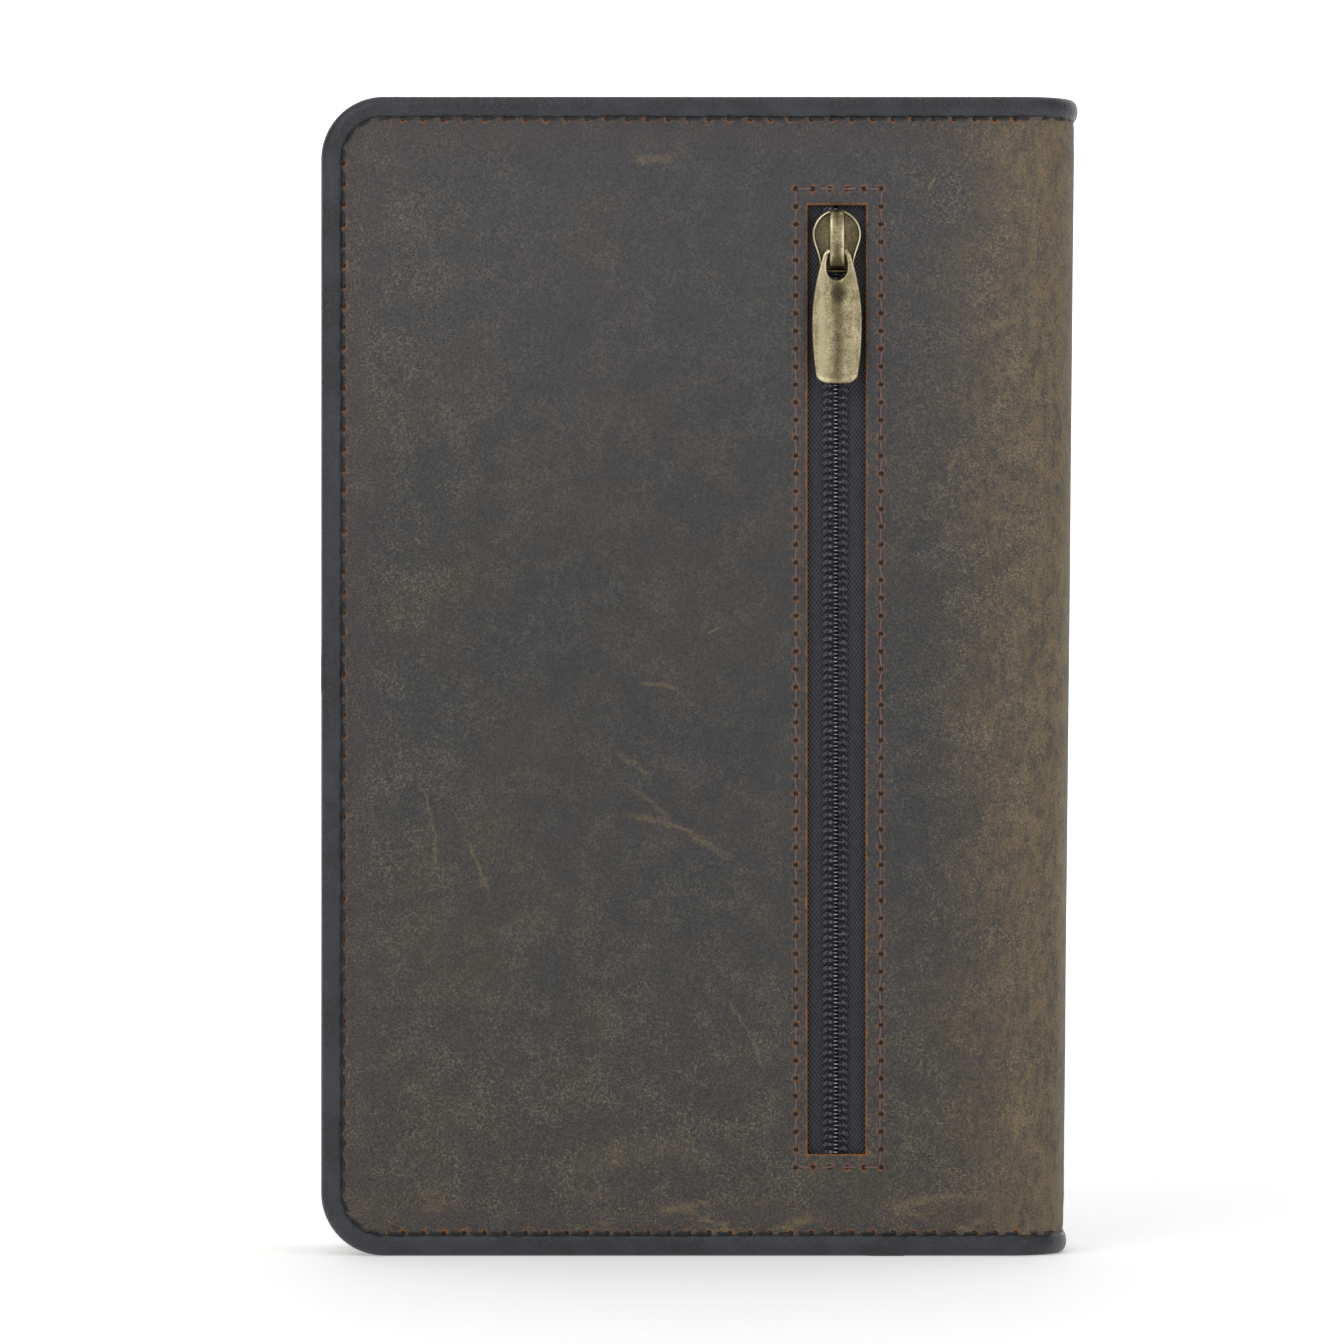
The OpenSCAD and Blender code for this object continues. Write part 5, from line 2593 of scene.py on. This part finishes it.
    @staticmethod
    def weld(piece: Piece) -> None:
        """Merge points that share a place, and turn the faces outwards.

        Args:
            piece: The piece to work on.
        """
        mesh = bmesh.new()
        mesh.from_mesh(piece.data)
        bmesh.ops.remove_doubles(mesh, verts=mesh.verts, dist=0.00001)
        bmesh.ops.dissolve_degenerate(mesh, edges=mesh.edges, dist=0.000002)
        bmesh.ops.recalc_face_normals(mesh, faces=mesh.faces)
        mesh.to_mesh(piece.data)
        mesh.free()

    def mull(self) -> Piece:
        """Build the open cloth glued over the back of the pages.

        Returns:
            The finished piece.
        """
        half = math.asin(7.8 / 16.65)
        rings = []
        for angle in spread(-half, half, 0.06):
            ring = []
            for r, z in ((16.65, 20.5), (16.95, 20.5), (16.95, 209.5), (16.65, 209.5)):
                ring.append(
                    (self.round_x + r * math.cos(angle), self.y_of(Side.FRONT, r * math.sin(angle)), z)
                )
            rings.append(ring)
        piece = add_piece("back_cloth", *loft(rings), [self.finishes.mull])
        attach(piece, "spine")
        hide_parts("spine_mull")
        return piece

    def end_band(self, end: End) -> Piece:
        """Build the sewn silk band at the head or the tail of the back.

        Args:
            end: The head or the tail.

        Returns:
            The finished piece.
        """
        z, half = (11.85, 218.15)[end.value], math.radians(30.4)
        rings, sides, steps = [], 10, 60
        for i in range(steps + 1):
            angle = -half + 2 * half * i / steps
            r = 1.0 * (0.9 + 0.1 * (i % 2)) * (0.75 if i in (0, steps) else 1.0)
            ring = []
            for j in range(sides):
                a = 2 * math.pi * j / sides
                d = 15.5 + r * math.cos(a)
                ring.append(
                    (
                        self.round_x + d * math.cos(angle), self.y_of(Side.FRONT, d * math.sin(angle)),
                        z + r * math.sin(a)
                    )
                )
            rings.append(ring)
        piece = add_piece(f"{end.word}_silk_band", *loft(rings), [self.finishes.band], sharp_deg=70)
        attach(piece, "spine")
        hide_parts(f"{end.word}_band")
        return piece

    def ribbon(self) -> Piece:
        """Build the ribbon marker between the two halves of the pages.

        Returns:
            The finished piece.
        """
        zs = spread(8.7, 216.8, 3.0)

        def at(u: float, z: float, out: float) -> Point:
            """Return where a point of the sheet is."""
            notch = 2.2 * (1 - abs(u - 3.0) / 3.0) if z <= zs[0] + 0.01 else 0.0
            bow = 0.5 * wander(z, 0.0, 60.0, 1.0) * smooth(217.0, 180.0, z)
            return (55.2 + u * 0.95 + bow, self.y_of(Side.BACK, out), z + notch)

        piece = closed_sheet(
            "ribbon", spread(0.0, 6.0, 1.0), zs, at, lambda u, z: 0.08, lambda u, z: -0.06, [
                self.finishes.ribbon
            ]
        )
        self.page_blend(piece, Side.BACK)
        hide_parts("ribbon_marker")
        return piece


# ---------------------------------------------------------------- the zip


@dataclass
class Zip:
    """The zip behind the window: two tapes, two coils, their stitches and the stops."""

    form: JacketForm
    finishes: Finishes
    repeat: PathRepeat
    centre: float = 27.3
    tape_gap: float = 0.35
    tape_w: float = 14.65
    tape_low: float = 12.0
    tape_high: float = 216.0
    tape_face: float = -14.8
    coil_pitch: float = 1.52
    coil_low: float = 20.6
    coil_high: float = 207.9

    def build(self) -> list[Piece]:
        """Build every piece of the zip but its slider.

        Returns:
            The finished pieces.
        """
        made = []
        for way, word in ((-1, "left"), (1, "right")):
            made += [
                self.tape(way, word), self.coil(way, word), self.heads(way, word),
                self.coil_thread(way, word)
            ]
        made += [*self.top_stops(), self.bottom_stop()]
        return made

    def y(self, y: float) -> float:
        """Return Y in the shared frame."""
        return y + self.form.middle_y

    def keep(self, piece: Piece, node: str) -> Piece:
        """Let a piece ride the back cover in place of a solid.

        Args:
            piece: The piece to work on.
            node: The solid that it replaces.

        Returns:
            The finished piece.
        """
        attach(piece, Side.BACK.cover)
        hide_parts(node)
        return piece

    def tape(self, way: int, word: str) -> Piece:
        """Build one woven tape, ribbed along its length.

        Args:
            way: Side of the zip's middle, -1 or 1.
            word: The side's name.

        Returns:
            The finished piece.
        """
        xs = spread(0.0, self.tape_w, 1.2)
        thick = 0.46

        def face(u: float, z: float) -> float:
            """Return the height of the face at u and z."""
            return -0.02 + 0.1 * wander(u, z, 9.0, way)

        piece = closed_sheet(
            f"{word}_tape",
            xs,
            spread(self.tape_low, self.tape_high, 8.0),
            lambda u, z, out: (self.centre + way * (self.tape_gap + u), self.y(self.tape_face - out), z),
            face,
            lambda u, z: -thick,
            [self.finishes.tape],
            sharp_deg=80,
        )
        return self.keep(piece, f"zip_tape_{word}")

    def element(self, way: int) -> Skin:
        """Return one turn of a coil: its flattened loop and the neck that reaches to the middle.

        Args:
            way: Side of the zip's middle, -1 or 1.

        Returns:
            The points and the faces.
        """
        near, far = (0.5, 1.55) if way < 0 else (1.15, 1.8)
        return joined(
            [
                rod((-0.04, near, 1.3), (0.04, far, 1.15), 0.48, 0.6, 8, 6),
                rod((0.0, near + 0.3, 1.42), (0.0, 0.1, 1.5), 0.14, 0.14),
                rod((0.3, 0.4, 0.5), (0.2, 2.7, 0.35), 0.26, 0.22),
            ]
        )

    def lay(self, way: int, word: str, parts: Skin, finish: Material) -> Piece:
        """Lay one shape for every turn down one side; the two sides are half a turn apart.

        Args:
            way: Side of the zip's middle, -1 or 1.
            word: The side's name.
            parts: The skins to put together.
            finish: Its material.

        Returns:
            The finished piece.
        """
        points, faces = parts
        shape = small_shape("turn", [(x, y * way, z) for x, y, z in points], faces, finish)
        start = self.coil_low + (self.coil_pitch / 2 if way > 0 else 0.0)
        top = start + int((self.coil_high - start) / self.coil_pitch) * self.coil_pitch
        x, y = self.centre - 0.2, self.y(self.tape_face - 0.02)
        piece = self.repeat.run(word, [[(x, y, top), (x, y, start)]], shape, self.coil_pitch * 0.9999, finish)
        bpy.data.objects.remove(shape)
        return piece

    def coil(self, way: int, word: str) -> Piece:
        """Set one coil's turns along the meeting line."""
        piece = self.lay(way, f"{word}_coil", self.element(way), self.finishes.nylon)
        return self.keep(piece, f"zip_coil_{word}")

    def heads(self, way: int, word: str) -> Piece:
        """Set the heads of one coil's turns, which mesh with the other coil's, in nylon painted lighter than
        the coil as a painted highlight.

        Args:
            way: Side of the zip's middle, -1 or 1.
            word: The side's name.

        Returns:
            The finished piece.
        """
        head = rod((0.0, 0.36, 1.8), (0.0, -0.36, 1.8), 0.15, 0.17)
        piece = self.lay(way, f"{word}_coil_heads", head, self.finishes.head)
        return self.keep(piece, f"zip_coil_{word}")

    def coil_thread(self, way: int, word: str) -> Piece:
        """Stitch one coil down to its tape, with a slanting pair of strands at each turn.

        Args:
            way: Side of the zip's middle, -1 or 1.
            word: The side's name.

        Returns:
            The finished piece.
        """
        shift = 0.0 if way < 0 else -0.15
        strands = joined(
            [
                rod((-0.42, 1.5 + shift, 1.72), (0.28, 2.62 + shift, 0.6), 0.17, 0.18),
                rod((0.02, 1.6 + shift, 1.62), (0.6, 2.45 + shift, 0.65), 0.13, 0.15),
            ]
        )
        piece = self.lay(way, f"{word}_coil_stitches", strands, self.finishes.coil_thread)
        return self.keep(piece, f"zip_coil_{word}")

    def stop(self, name: str, x: float, z: float, size: Point) -> Piece:
        """Make one small rounded metal or nylon stop.

        Args:
            name: What to call it.
            x: Place along X in millimetres.
            z: Height in millimetres.
            size: Its width, depth and height.

        Returns:
            The finished piece.
        """
        w, t, h = size
        outline = []
        for sx, sz, start in ((1, -1, -90), (1, 1, 0), (-1, 1, 90), (-1, -1, 180)):
            for i in range(4):
                a = math.radians(start + 30 * i)
                outline.append(
                    (x + sx * (w / 2 - 0.4) + 0.4 * math.cos(a), z + sz * (h / 2 - 0.4) + 0.4 * math.sin(a))
                )
        y = self.y(self.tape_face + 0.46)
        points, faces = prism(outline, [(y, 0.15), (y + 0.15, 0.0), (y + t - 0.2, 0.0), (y + t, 0.2)])
        return add_piece(name, points, faces, [self.finishes.brass], sharp_deg=50)

    def top_stops(self) -> list[Piece]:
        """Build the stops above the slider, which are behind the hide.

        Returns:
            The finished pieces.
        """
        made = []
        for way, word in ((-1, "left"), (1, "right")):
            piece = self.stop(f"{word}_top_stop", self.centre + way * 1.75, 212.4, (1.7, 0.8, 3.8))
            paint(piece, "rub", [0.5] * len(piece.data.vertices))
            made.append(self.keep(piece, "zip_top_stops"))
        return made

    def bottom_stop(self) -> Piece:
        """Build the stop below the coils, which is behind the hide.

        Returns:
            The finished piece.
        """
        piece = self.stop("lower_stop", self.centre, 16.7, (5.2, 0.8, 2.9))
        paint(piece, "rub", [0.5] * len(piece.data.vertices))
        return self.keep(piece, "zip_bottom_stop")


@dataclass
class Slider:
    """The zip's slider: an onion-shaped plate, a lower plate, flanges and a strap over the bar."""

    form: JacketForm
    finishes: Finishes
    centre: float = 27.3
    top: float = 207.4
    length: float = 12.5
    shoulder: float = 4.85
    neck: float = 3.45
    plate_low: float = 17.05
    plate_high: float = 18.25
    rim_w: float = 0.52

    def build(self) -> list[Piece]:
        """Build the body and the strap."""
        return [self.body(), self.bail()]

    def outline(self, count: int = 28) -> list[Pair]:
        """Return the plate's outline as half widths down its length, closed and anticlockwise.

        Args:
            count: How many points.

        Returns:
            The points in order.
        """
        half = []
        for i in range(count + 1):
            s = i / count
            drop = self.length * (1 - math.cos(math.pi * s)) / 2
            if drop < self.shoulder:
                w = math.sqrt(max(self.shoulder**2 - (self.shoulder - drop) ** 2, 0.0))
            else:
                w = self.neck + (self.shoulder - self.neck) * (
                    1 - smooth(self.shoulder, self.length * 0.86, drop)
                )
            end = self.length - drop
            if end < 1.4:
                w *= math.sqrt(max(1 - ((1.4 - end) / 1.4) ** 2 * 0.55, 0.0))
            half.append((w, self.top - drop))
        right = [(self.centre + w, z) for w, z in half]
        left = [(self.centre - w, z) for w, z in half]
        return right[::-1] + left[1:]

    def dish(
        self, outline: Sequence[Pair], levels: Sequence[Point]
    ) -> tuple[list[Point], list[list[int]], list[float]]:
        """Stack shrunk copies of an outline about its middle.

        Args:
            outline: Points in X and Z.
            levels: Distance towards -Y, inset and the painted brightness of the metal there: rubbed edges and
                patina with painted highlights.

        Returns:
            The points, the faces and the painted brightness of each point.
        """
        cx, cz = self.centre, self.top - self.length * 0.46
        reach_x, reach_z = self.shoulder, self.length / 2
        rings, rub = [], []
        for out, inset, rub_and_painted_light in levels:
            ring = []
            for x, z in outline:
                ring.append(
                    (
                        cx + (x - cx) * (1 - inset / reach_x), -out + self.form.middle_y,
                        cz + (z - cz) * (1 - inset / reach_z)
                    )
                )
            rings.append(ring)
            # painted shade: the plate is darkened towards its lower end, under the tab
            rub += [rub_and_painted_light * (1 - 0.9 * smooth(198.4, 195.8, z)) for x, z in outline]
        points, faces = loft(rings)
        return points, faces, rub

    def body(self) -> Piece:
        """Build both plates, the post between them and the flanges.

        Returns:
            The finished piece.
        """
        low, high, rim = self.plate_low, self.plate_high, self.rim_w
        parts = [
            # the third number of each level is painted brightness: the rim is lightest, rubbed edge with a
            # painted highlight, and the dish inside is darker
            self.dish(
                self.outline(),
                [
                    (low, 0.25, 0.2), (low, 0.0, 0.3), (high - 0.3, 0.0, 0.75), (
                        high - 0.08, 0.14, 1.0
                    ), (high, 0.35, 1.0),
                    (
                        high - 0.02, rim * 0.75, 0.62
                    ), (high - 0.22, rim, 0.0), (high - 0.3, rim + 0.3, 0.1), (high - 0.2, rim + 2.2, 0.24),
                ],
            ),
            self.dish(
                self.outline(), [(12.95, 0.3, 0.3), (13.1, 0.0, 0.5), (14.0, 0.0, 0.5), (14.12, 0.2, 0.3)]
            ),
        ]
        for sign in (-1, 1):
            run = []
            for i in range(13):
                z = self.top - 3.6 - (self.length - 4.6) * i / 12
                w = self.neck + (self.shoulder - self.neck) * (
                    1 - smooth(self.shoulder, self.length * 0.86, self.top - z)
                ) - 0.04
                run.append(
                    [
                        (self.centre + sign * a, -y + self.form.middle_y, z) for a,
                        y in ((w - 0.75, 15.05), (w - 0.02, 15.05), (w, 15.2), (w, 17.2), (w - 0.75, 17.2))
                    ]
                )
            points, faces = loft(run)
            parts.append((points, faces, [0.25] * len(points)))
        post = [
            [
                (self.centre + dx, -y + self.form.middle_y, self.top - dz) for dx,
                dz in ((-0.24, 1.2), (0.24, 1.2), (0.24, 3.4), (-0.24, 3.4))
            ]
            for y in (14.0, 17.2)
        ]
        points, faces = loft(post)
        parts.append((points, faces, [0.2] * len(points)))
        piece = merged("slider", parts, self.finishes.brass)
        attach(piece, "zip_slider")
        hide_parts("slider_body")
        return piece

    def bail(self) -> Piece:
        """Build the strap that holds the tab's bar.

        Returns:
            The finished piece.
        """
        path = (
            (207.0, 17.95), (206.85, 18.7), (206.4, 19.4), (205.6, 19.95), (204.4, 20.28), (203.0, 20.42),
            (201.4, 20.46), (199.8, 20.46), (198.4, 20.4), (197.3, 20.2), (196.55, 19.8), (196.15, 19.1),
            (196.1, 18.5), (196.25, 17.95),
        )
        half_w, half_t = 1.45, 0.4
        rings, rub = [], []
        for i, (z, out) in enumerate(path):
            a, b = path[max(i - 1, 0)], path[min(i + 1, len(path) - 1)]
            tz, to = b[0] - a[0], b[1] - a[1]
            n = math.hypot(tz, to)
            nz, no = to / n, -tz / n
            ring = []
            # the third number is painted brightness: the strap's rounded edges are lightest, rubbed edges
            # with a painted highlight, and its underside darkest as painted shade
            for w, h, rub_and_painted_light in (
                (-1.0, -0.6, 0.2), (-1.0, 0.45, 0.8), (-0.86, 0.95, 1.0), (-0.5, 1.0, 0.45),
                (0.0, 1.02, 0.3), (0.5, 1.0, 0.45), (0.86, 0.95, 1.0), (1.0, 0.45, 0.8),
                (1.0, -0.6, 0.2), (0.8, -1.0, 0.1), (-0.8, -1.0, 0.1),
            ):
                ring.append(
                    (
                        self.centre + w * half_w, -(out + no * h * half_t) + self.form.middle_y,
                        z + nz * h * half_t
                    )
                )
                # painted highlight across the middle of the strap and painted shade at its lower end
                painted_highlight_and_shade = 0.45 * bell(z - 202.6, 1.6) - 0.6 * smooth(198.2, 196.6, z)
                rub.append(max(0.05, min(1.0, rub_and_painted_light - 0.2 + painted_highlight_and_shade)))
            rings.append(ring)
        points, faces = loft(rings)
        piece = merged("slider_strap", [(points, faces, rub)], self.finishes.brass)
        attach(piece, "zip_slider")
        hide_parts("slider_bail")
        return piece


def merged(
    name: str, parts: Sequence[tuple[Sequence[Point], Sequence[Sequence[int]], Sequence[float]]],
    finish: Material, sharp_deg: float = 60.0
) -> Piece:
    """Make one piece of several closed skins, with the painted brightness of each point: rubbed edges and
    patina with painted highlights and shade.

    Args:
        name: What to call it.
        parts: Each skin, with the painted brightness of its points.
        finish: Its material.
        sharp_deg: Angle that makes an edge sharp.

    Returns:
        The finished piece.
    """
    points, faces, rub = [], [], []
    for own_points, own_faces, own_rub in parts:
        faces += [[i + len(points) for i in face] for face in own_faces]
        points += own_points
        rub += own_rub
    piece = add_piece(name, points, faces, [finish], sharp_deg=sharp_deg)
    # the painted brightness goes into the rub attribute, painted highlights and shade included
    paint(piece, "rub", rub)
    return piece


@dataclass
class PullTab:
    """The long leaf-shaped pull tab, with an eye round a bar under the slider's strap."""

    form: JacketForm
    finishes: Finishes
    centre: float = 27.3
    pivot_z: float = 199.0
    pivot_y: float = -19.1
    above: float = 0.72
    below: float = 26.1
    half_w: float = 4.95
    face: float = 0.68

    def half(self, s: float) -> float:
        """Return the half width at a share of the length, from the top.

        Args:
            s: Share of the length from the top.

        Returns:
            Half the width in millimetres.
        """
        w = self.half_w * (0.47 + 0.53 * math.sin(math.pi / 2 * min(s / 0.55, 1.0)) ** 0.9)
        if s > 0.55:
            w *= 1 - 0.18 * ((s - 0.55) / 0.45) ** 1.8
        return w

    def outline(self) -> list[Pair]:
        """Return the tab's outline from its lower end round to its top, as X and Z about the pivot.

        Returns:
            The points in order.
        """
        length = self.above + self.below
        top_r, low_r = 1.5, 1.7
        right = []
        for i in range(41):
            s = i / 40
            z = self.above - length * s
            w = self.half(s)
            gap_top, gap_low = self.above - z, z + self.below
            if gap_top < top_r:
                w -= top_r - math.sqrt(max(top_r**2 - (top_r - gap_top) ** 2, 0.0))
            if gap_low < low_r:
                w -= low_r - math.sqrt(max(low_r**2 - (low_r - gap_low) ** 2, 0.0))
            right.append((w, z))
        left = [(-w, z) for w, z in right]
        return right[::-1] + left

    def build(self) -> list[Piece]:
        """Build the tab with its eye, and the bar through it."""
        return [self.tab()]

    def eye(self, steps: int = 14) -> list[Pair]:
        """Return the eye's outline, anticlockwise about the pivot: round below, narrower above.

        Args:
            steps: How many steps it is made in.

        Returns:
            The points in order.
        """
        low = [math.pi + math.pi * i / steps for i in range(steps + 1)]
        points = [(2.05 * math.cos(a), -3.45 + 2.05 * math.sin(a)) for a in low]
        rise = [(2.05 - 0.4 * smooth(-2.6, -0.7, z), z) for z in spread(-3.2, -0.8, 0.4)]
        points += rise + [
            (1.65 * math.cos(a), -0.8 + 0.5 * math.sin(a)) for a in (0.5, 1.0, math.pi / 2, 2.14, 2.64)
        ]
        return points + [(-w, z) for w, z in reversed(rise)]

    def tab(self) -> Piece:
        """Build the tab as a ring of skins between the outline and the eye.

        Returns:
            The finished piece.
        """
        eye, outline = self.eye(), self.outline()
        count = 96
        outer, inner = self.around(outline, count), self.around(eye, count)
        steps = 22
        shares = [smooth(0, 1, i / steps) * 0.5 + 0.5 * i / steps for i in range(steps + 1)]
        rings, rub = [], []

        def lift(x: float, from_edge: float, from_eye: float) -> float:
            """Return how far the tab's face is from its middle."""
            edge = math.sqrt(max(1 - (1 - min(from_edge / 0.55, 1.0)) ** 2, 0.0))
            hole = math.sqrt(max(1 - (1 - min(from_eye / 0.5, 1.0)) ** 2, 0.0))
            crown = 0.16 * (x / 4.95) ** 2
            return self.face * (0.45 + 0.55 * edge * hole) - crown

        def shade(x: float, z: float, from_edge: float, from_eye: float) -> float:
            """Return the painted brightness of the brass there: painted highlight bands down the face, a
            darker middle and a darker band across, and brighter edges round the rim and the eye.
            """
            across = x / 4.6
            # painted highlights: light bands down the left and right of the face, with painted shade in the
            # middle between them
            rub_and_painted_light = 0.52 + 0.5 * bell(across + 0.66, 0.2) + 0.24 * bell(across - 0.72, 0.2) + 0.3 * bell(
                across + 0.36, 0.06
            )
            rub_and_painted_light -= 0.25 * bell(z + 8.2, 1.3) + 0.34 * bell(across - 0.04, 0.3)
            return min(1.0, rub_and_painted_light + 0.4 * bell(from_edge, 0.3) + 0.3 * bell(from_eye, 0.35))

        for way in (1, -1):
            order = range(steps, -1, -1) if way > 0 else range(steps + 1)
            for k in order:
                t = shares[k]
                ring = []
                for (ox, oz), (ix, iz) in zip(outer, inner):
                    x, z = ix + (ox - ix) * t, iz + (oz - iz) * t
                    span = math.hypot(ox - ix, oz - iz)
                    from_edge, from_eye = span * (1 - t), span * t
                    ring.append(
                        (
                            self.centre + x,
                            self.pivot_y + self.form.middle_y - way * lift(x, from_edge, from_eye),
                            self.pivot_z + z
                        )
                    )
                    rub.append(shade(x, z, from_edge, from_eye) if way > 0 else 0.5)
                rings.append(ring)
        points, faces = loft(rings, capped=False, looped=True)
        bar_rings = []
        for i in range(9):
            x = -2.1 + 4.2 * i / 8
            bar_rings.append(
                [
                    (
                        self.centre + x,
                        self.pivot_y + self.form.middle_y + 0.6 * math.cos(math.pi * j / 6),
                        self.pivot_z + 0.6 * math.sin(math.pi * j / 6)
                    )
                    for j in range(12)
                ]
            )
        bar = (*loft(bar_rings), [0.45] * (9 * 12))
        piece = merged("tab", [(points, faces, rub), bar], self.finishes.brass)
        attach(piece, "zip_pull")
        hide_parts("pull_tab")
        return piece

    def around(self, outline: Sequence[Pair], count: int) -> list[Pair]:
        """Return an outline's points at directions spread round it from a point inside both.

        Args:
            outline: Points in X and Z.
            count: How many points.

        Returns:
            The points in order.
        """
        found, heart = [], (0.0, -2.4)
        for i in range(count):
            share = 2 * math.pi * i / count
            angle = math.pi / 2 + share
            squeeze = math.atan2(math.sin(angle) * 1.9, math.cos(angle))
            dx, dz = math.cos(squeeze), math.sin(squeeze)
            best = 0.0
            for j, (x0, z0) in enumerate(outline):
                x1, z1 = outline[(j + 1) % len(outline)]
                ex, ez = x1 - x0, z1 - z0
                cross = dx * ez - dz * ex
                if abs(cross) < 1e-9:
                    continue
                px, pz = x0 - heart[0], z0 - heart[1]
                reach = (px * ez - pz * ex) / cross
                along = (px * dz - pz * dx) / cross
                if reach > best and -1e-6 <= along <= 1 + 1e-6:
                    best = reach
            found.append((heart[0] + dx * best, heart[1] + dz * best))
        return found


# ---------------------------------------------------------------- the studio


@dataclass(frozen=True)
class Studio:
    """A white table, three soft lights and a long lens."""

    frame_w: float = 266.5
    plane_y: float = -14.35
    middle_x: float = -5.35
    middle_z: float = 115.8
    distance: float = 1500.0
    sensor: float = 36.0

    def build(self) -> None:
        """Build the table, the lights and the camera."""
        self.table()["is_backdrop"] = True
        self.light("key", (-0.55, -1.0, 0.95), 0.9, 6.0)
        self.light("fill", (0.9, -1.1, 0.35), 0.9, 2.6)
        self.light("top", (0.0, -0.1, 1.3), 0.9, 2.2)
        world = bpy.data.worlds.new("room")
        world.use_nodes = True
        world.node_tree.nodes["Background"].inputs[0].default_value = (1.0, 1.0, 1.0, 1.0)
        world.node_tree.nodes["Background"].inputs[1].default_value = 0.42
        bpy.context.scene.world = world
        bpy.context.scene.view_settings.view_transform = "Standard"
        self.camera()

    def table(self) -> Piece:
        """Build the white sweep that the book stands on; it glows as painted light, more strongly into the
        distance.

        Returns:
            The finished piece.
        """
        points, faces = [], []
        profile = [(-2600.0, -0.02), (-300.0, -0.02), (300.0, -0.02), (2000.0, -0.02)]
        for i in range(1, 13):
            a = math.pi / 2 * i / 12
            profile.append((2000.0 + 600 * math.sin(a), -0.02 + 600 * (1 - math.cos(a))))
        profile.append((2600.0, 3200.0))
        for x in (-3200.0, 3200.0):
            points += [(x, y, z) for y, z in profile]
        n = len(profile)
        faces = [[i, i + 1, n + i + 1, n + i] for i in range(n - 1)]
        material, graph, shader = new_finish("white table")
        away = graph.node("ShaderNodeVectorMath", {0: graph.place()}, operation="LENGTH").outputs["Value"]
        graph.feed(shader.inputs["Base Color"], (0.92, 0.92, 0.92, 1.0))
        # painted light: the table glows, faintly near the book and more strongly far from it
        graph.feed(shader.inputs["Emission Color"], (1.0, 1.0, 1.0, 1.0))
        graph.feed(shader.inputs["Emission Strength"], graph.step(away, 150.0, 1900.0, 0.8, 0.27))
        graph.feed(shader.inputs["Roughness"], 0.7)
        return keep_rest(add_piece("table", points, faces, [material], sharp_deg=180, recalculate=False))

    def light(self, name: str, place: Point, size: float, power: float) -> None:
        """Hang one soft square light that faces the book.

        Args:
            name: What to call it.
            place: Where it hangs, in metres.
            size: Its side in metres.
            power: Its power in watts.
        """
        lamp = bpy.data.lights.new(name, "AREA")
        lamp.shape, lamp.size, lamp.energy = "SQUARE", size, power
        thing = bpy.data.objects.new(name, lamp)
        bpy.context.scene.collection.objects.link(thing)
        thing.location = place
        thing.rotation_euler = (Vector((0.0, 0.0, 0.115)) - Vector(place)).to_track_quat("-Z", "Y").to_euler()

    def camera(self) -> None:
        """Set up the camera square on to the back cover."""
        lens = bpy.data.cameras.new("camera")
        y = (self.plane_y - self.distance) * MM
        lens.sensor_width = self.sensor
        lens.lens = self.sensor * self.distance / self.frame_w
        lens.clip_start, lens.clip_end = 0.05, 20.0
        camera = bpy.data.objects.new("camera", lens)
        camera.location = (self.middle_x * MM, y, self.middle_z * MM)
        camera.rotation_euler = (math.pi / 2, 0.0, 0.0)
        bpy.context.scene.collection.objects.link(camera)
        bpy.context.scene.camera = camera


def size_of(bounds: Any) -> Any:
    """Turn a set of bounds into plain lists.

    Args:
        bounds: Lowest and highest corners.

    Returns:
        The lists.
    """
    if isinstance(bounds, dict):
        return {key: size_of(value) for key, value in bounds.items()}
    if isinstance(bounds, (list, tuple)) or hasattr(bounds, "__len__") and not isinstance(bounds, str):
        return [size_of(value) for value in bounds]
    return bounds


def main() -> None:
    """Build the whole scene, in order."""
    logging.basicConfig(level=logging.INFO, format="%(message)s")
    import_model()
    before = size_of(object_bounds())
    form, window = JacketForm(), Window()
    finishes, repeat = Finishes.build(window, form), PathRepeat()
    groups = (
        Jacket(form, window, finishes, repeat),
        Bible(form, finishes),
        Zip(form, finishes, repeat),
        Slider(form, finishes),
        PullTab(form, finishes),
    )
    for group in groups:
        for piece in group.build():
            keep_rest(piece)
            LOG.info("%s: %s, %d faces", type(group).__name__, piece.name, len(piece.data.polygons))
    Studio().build()
    {"before": before, "after": size_of(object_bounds())}


if __name__ == "__main__":
    main()
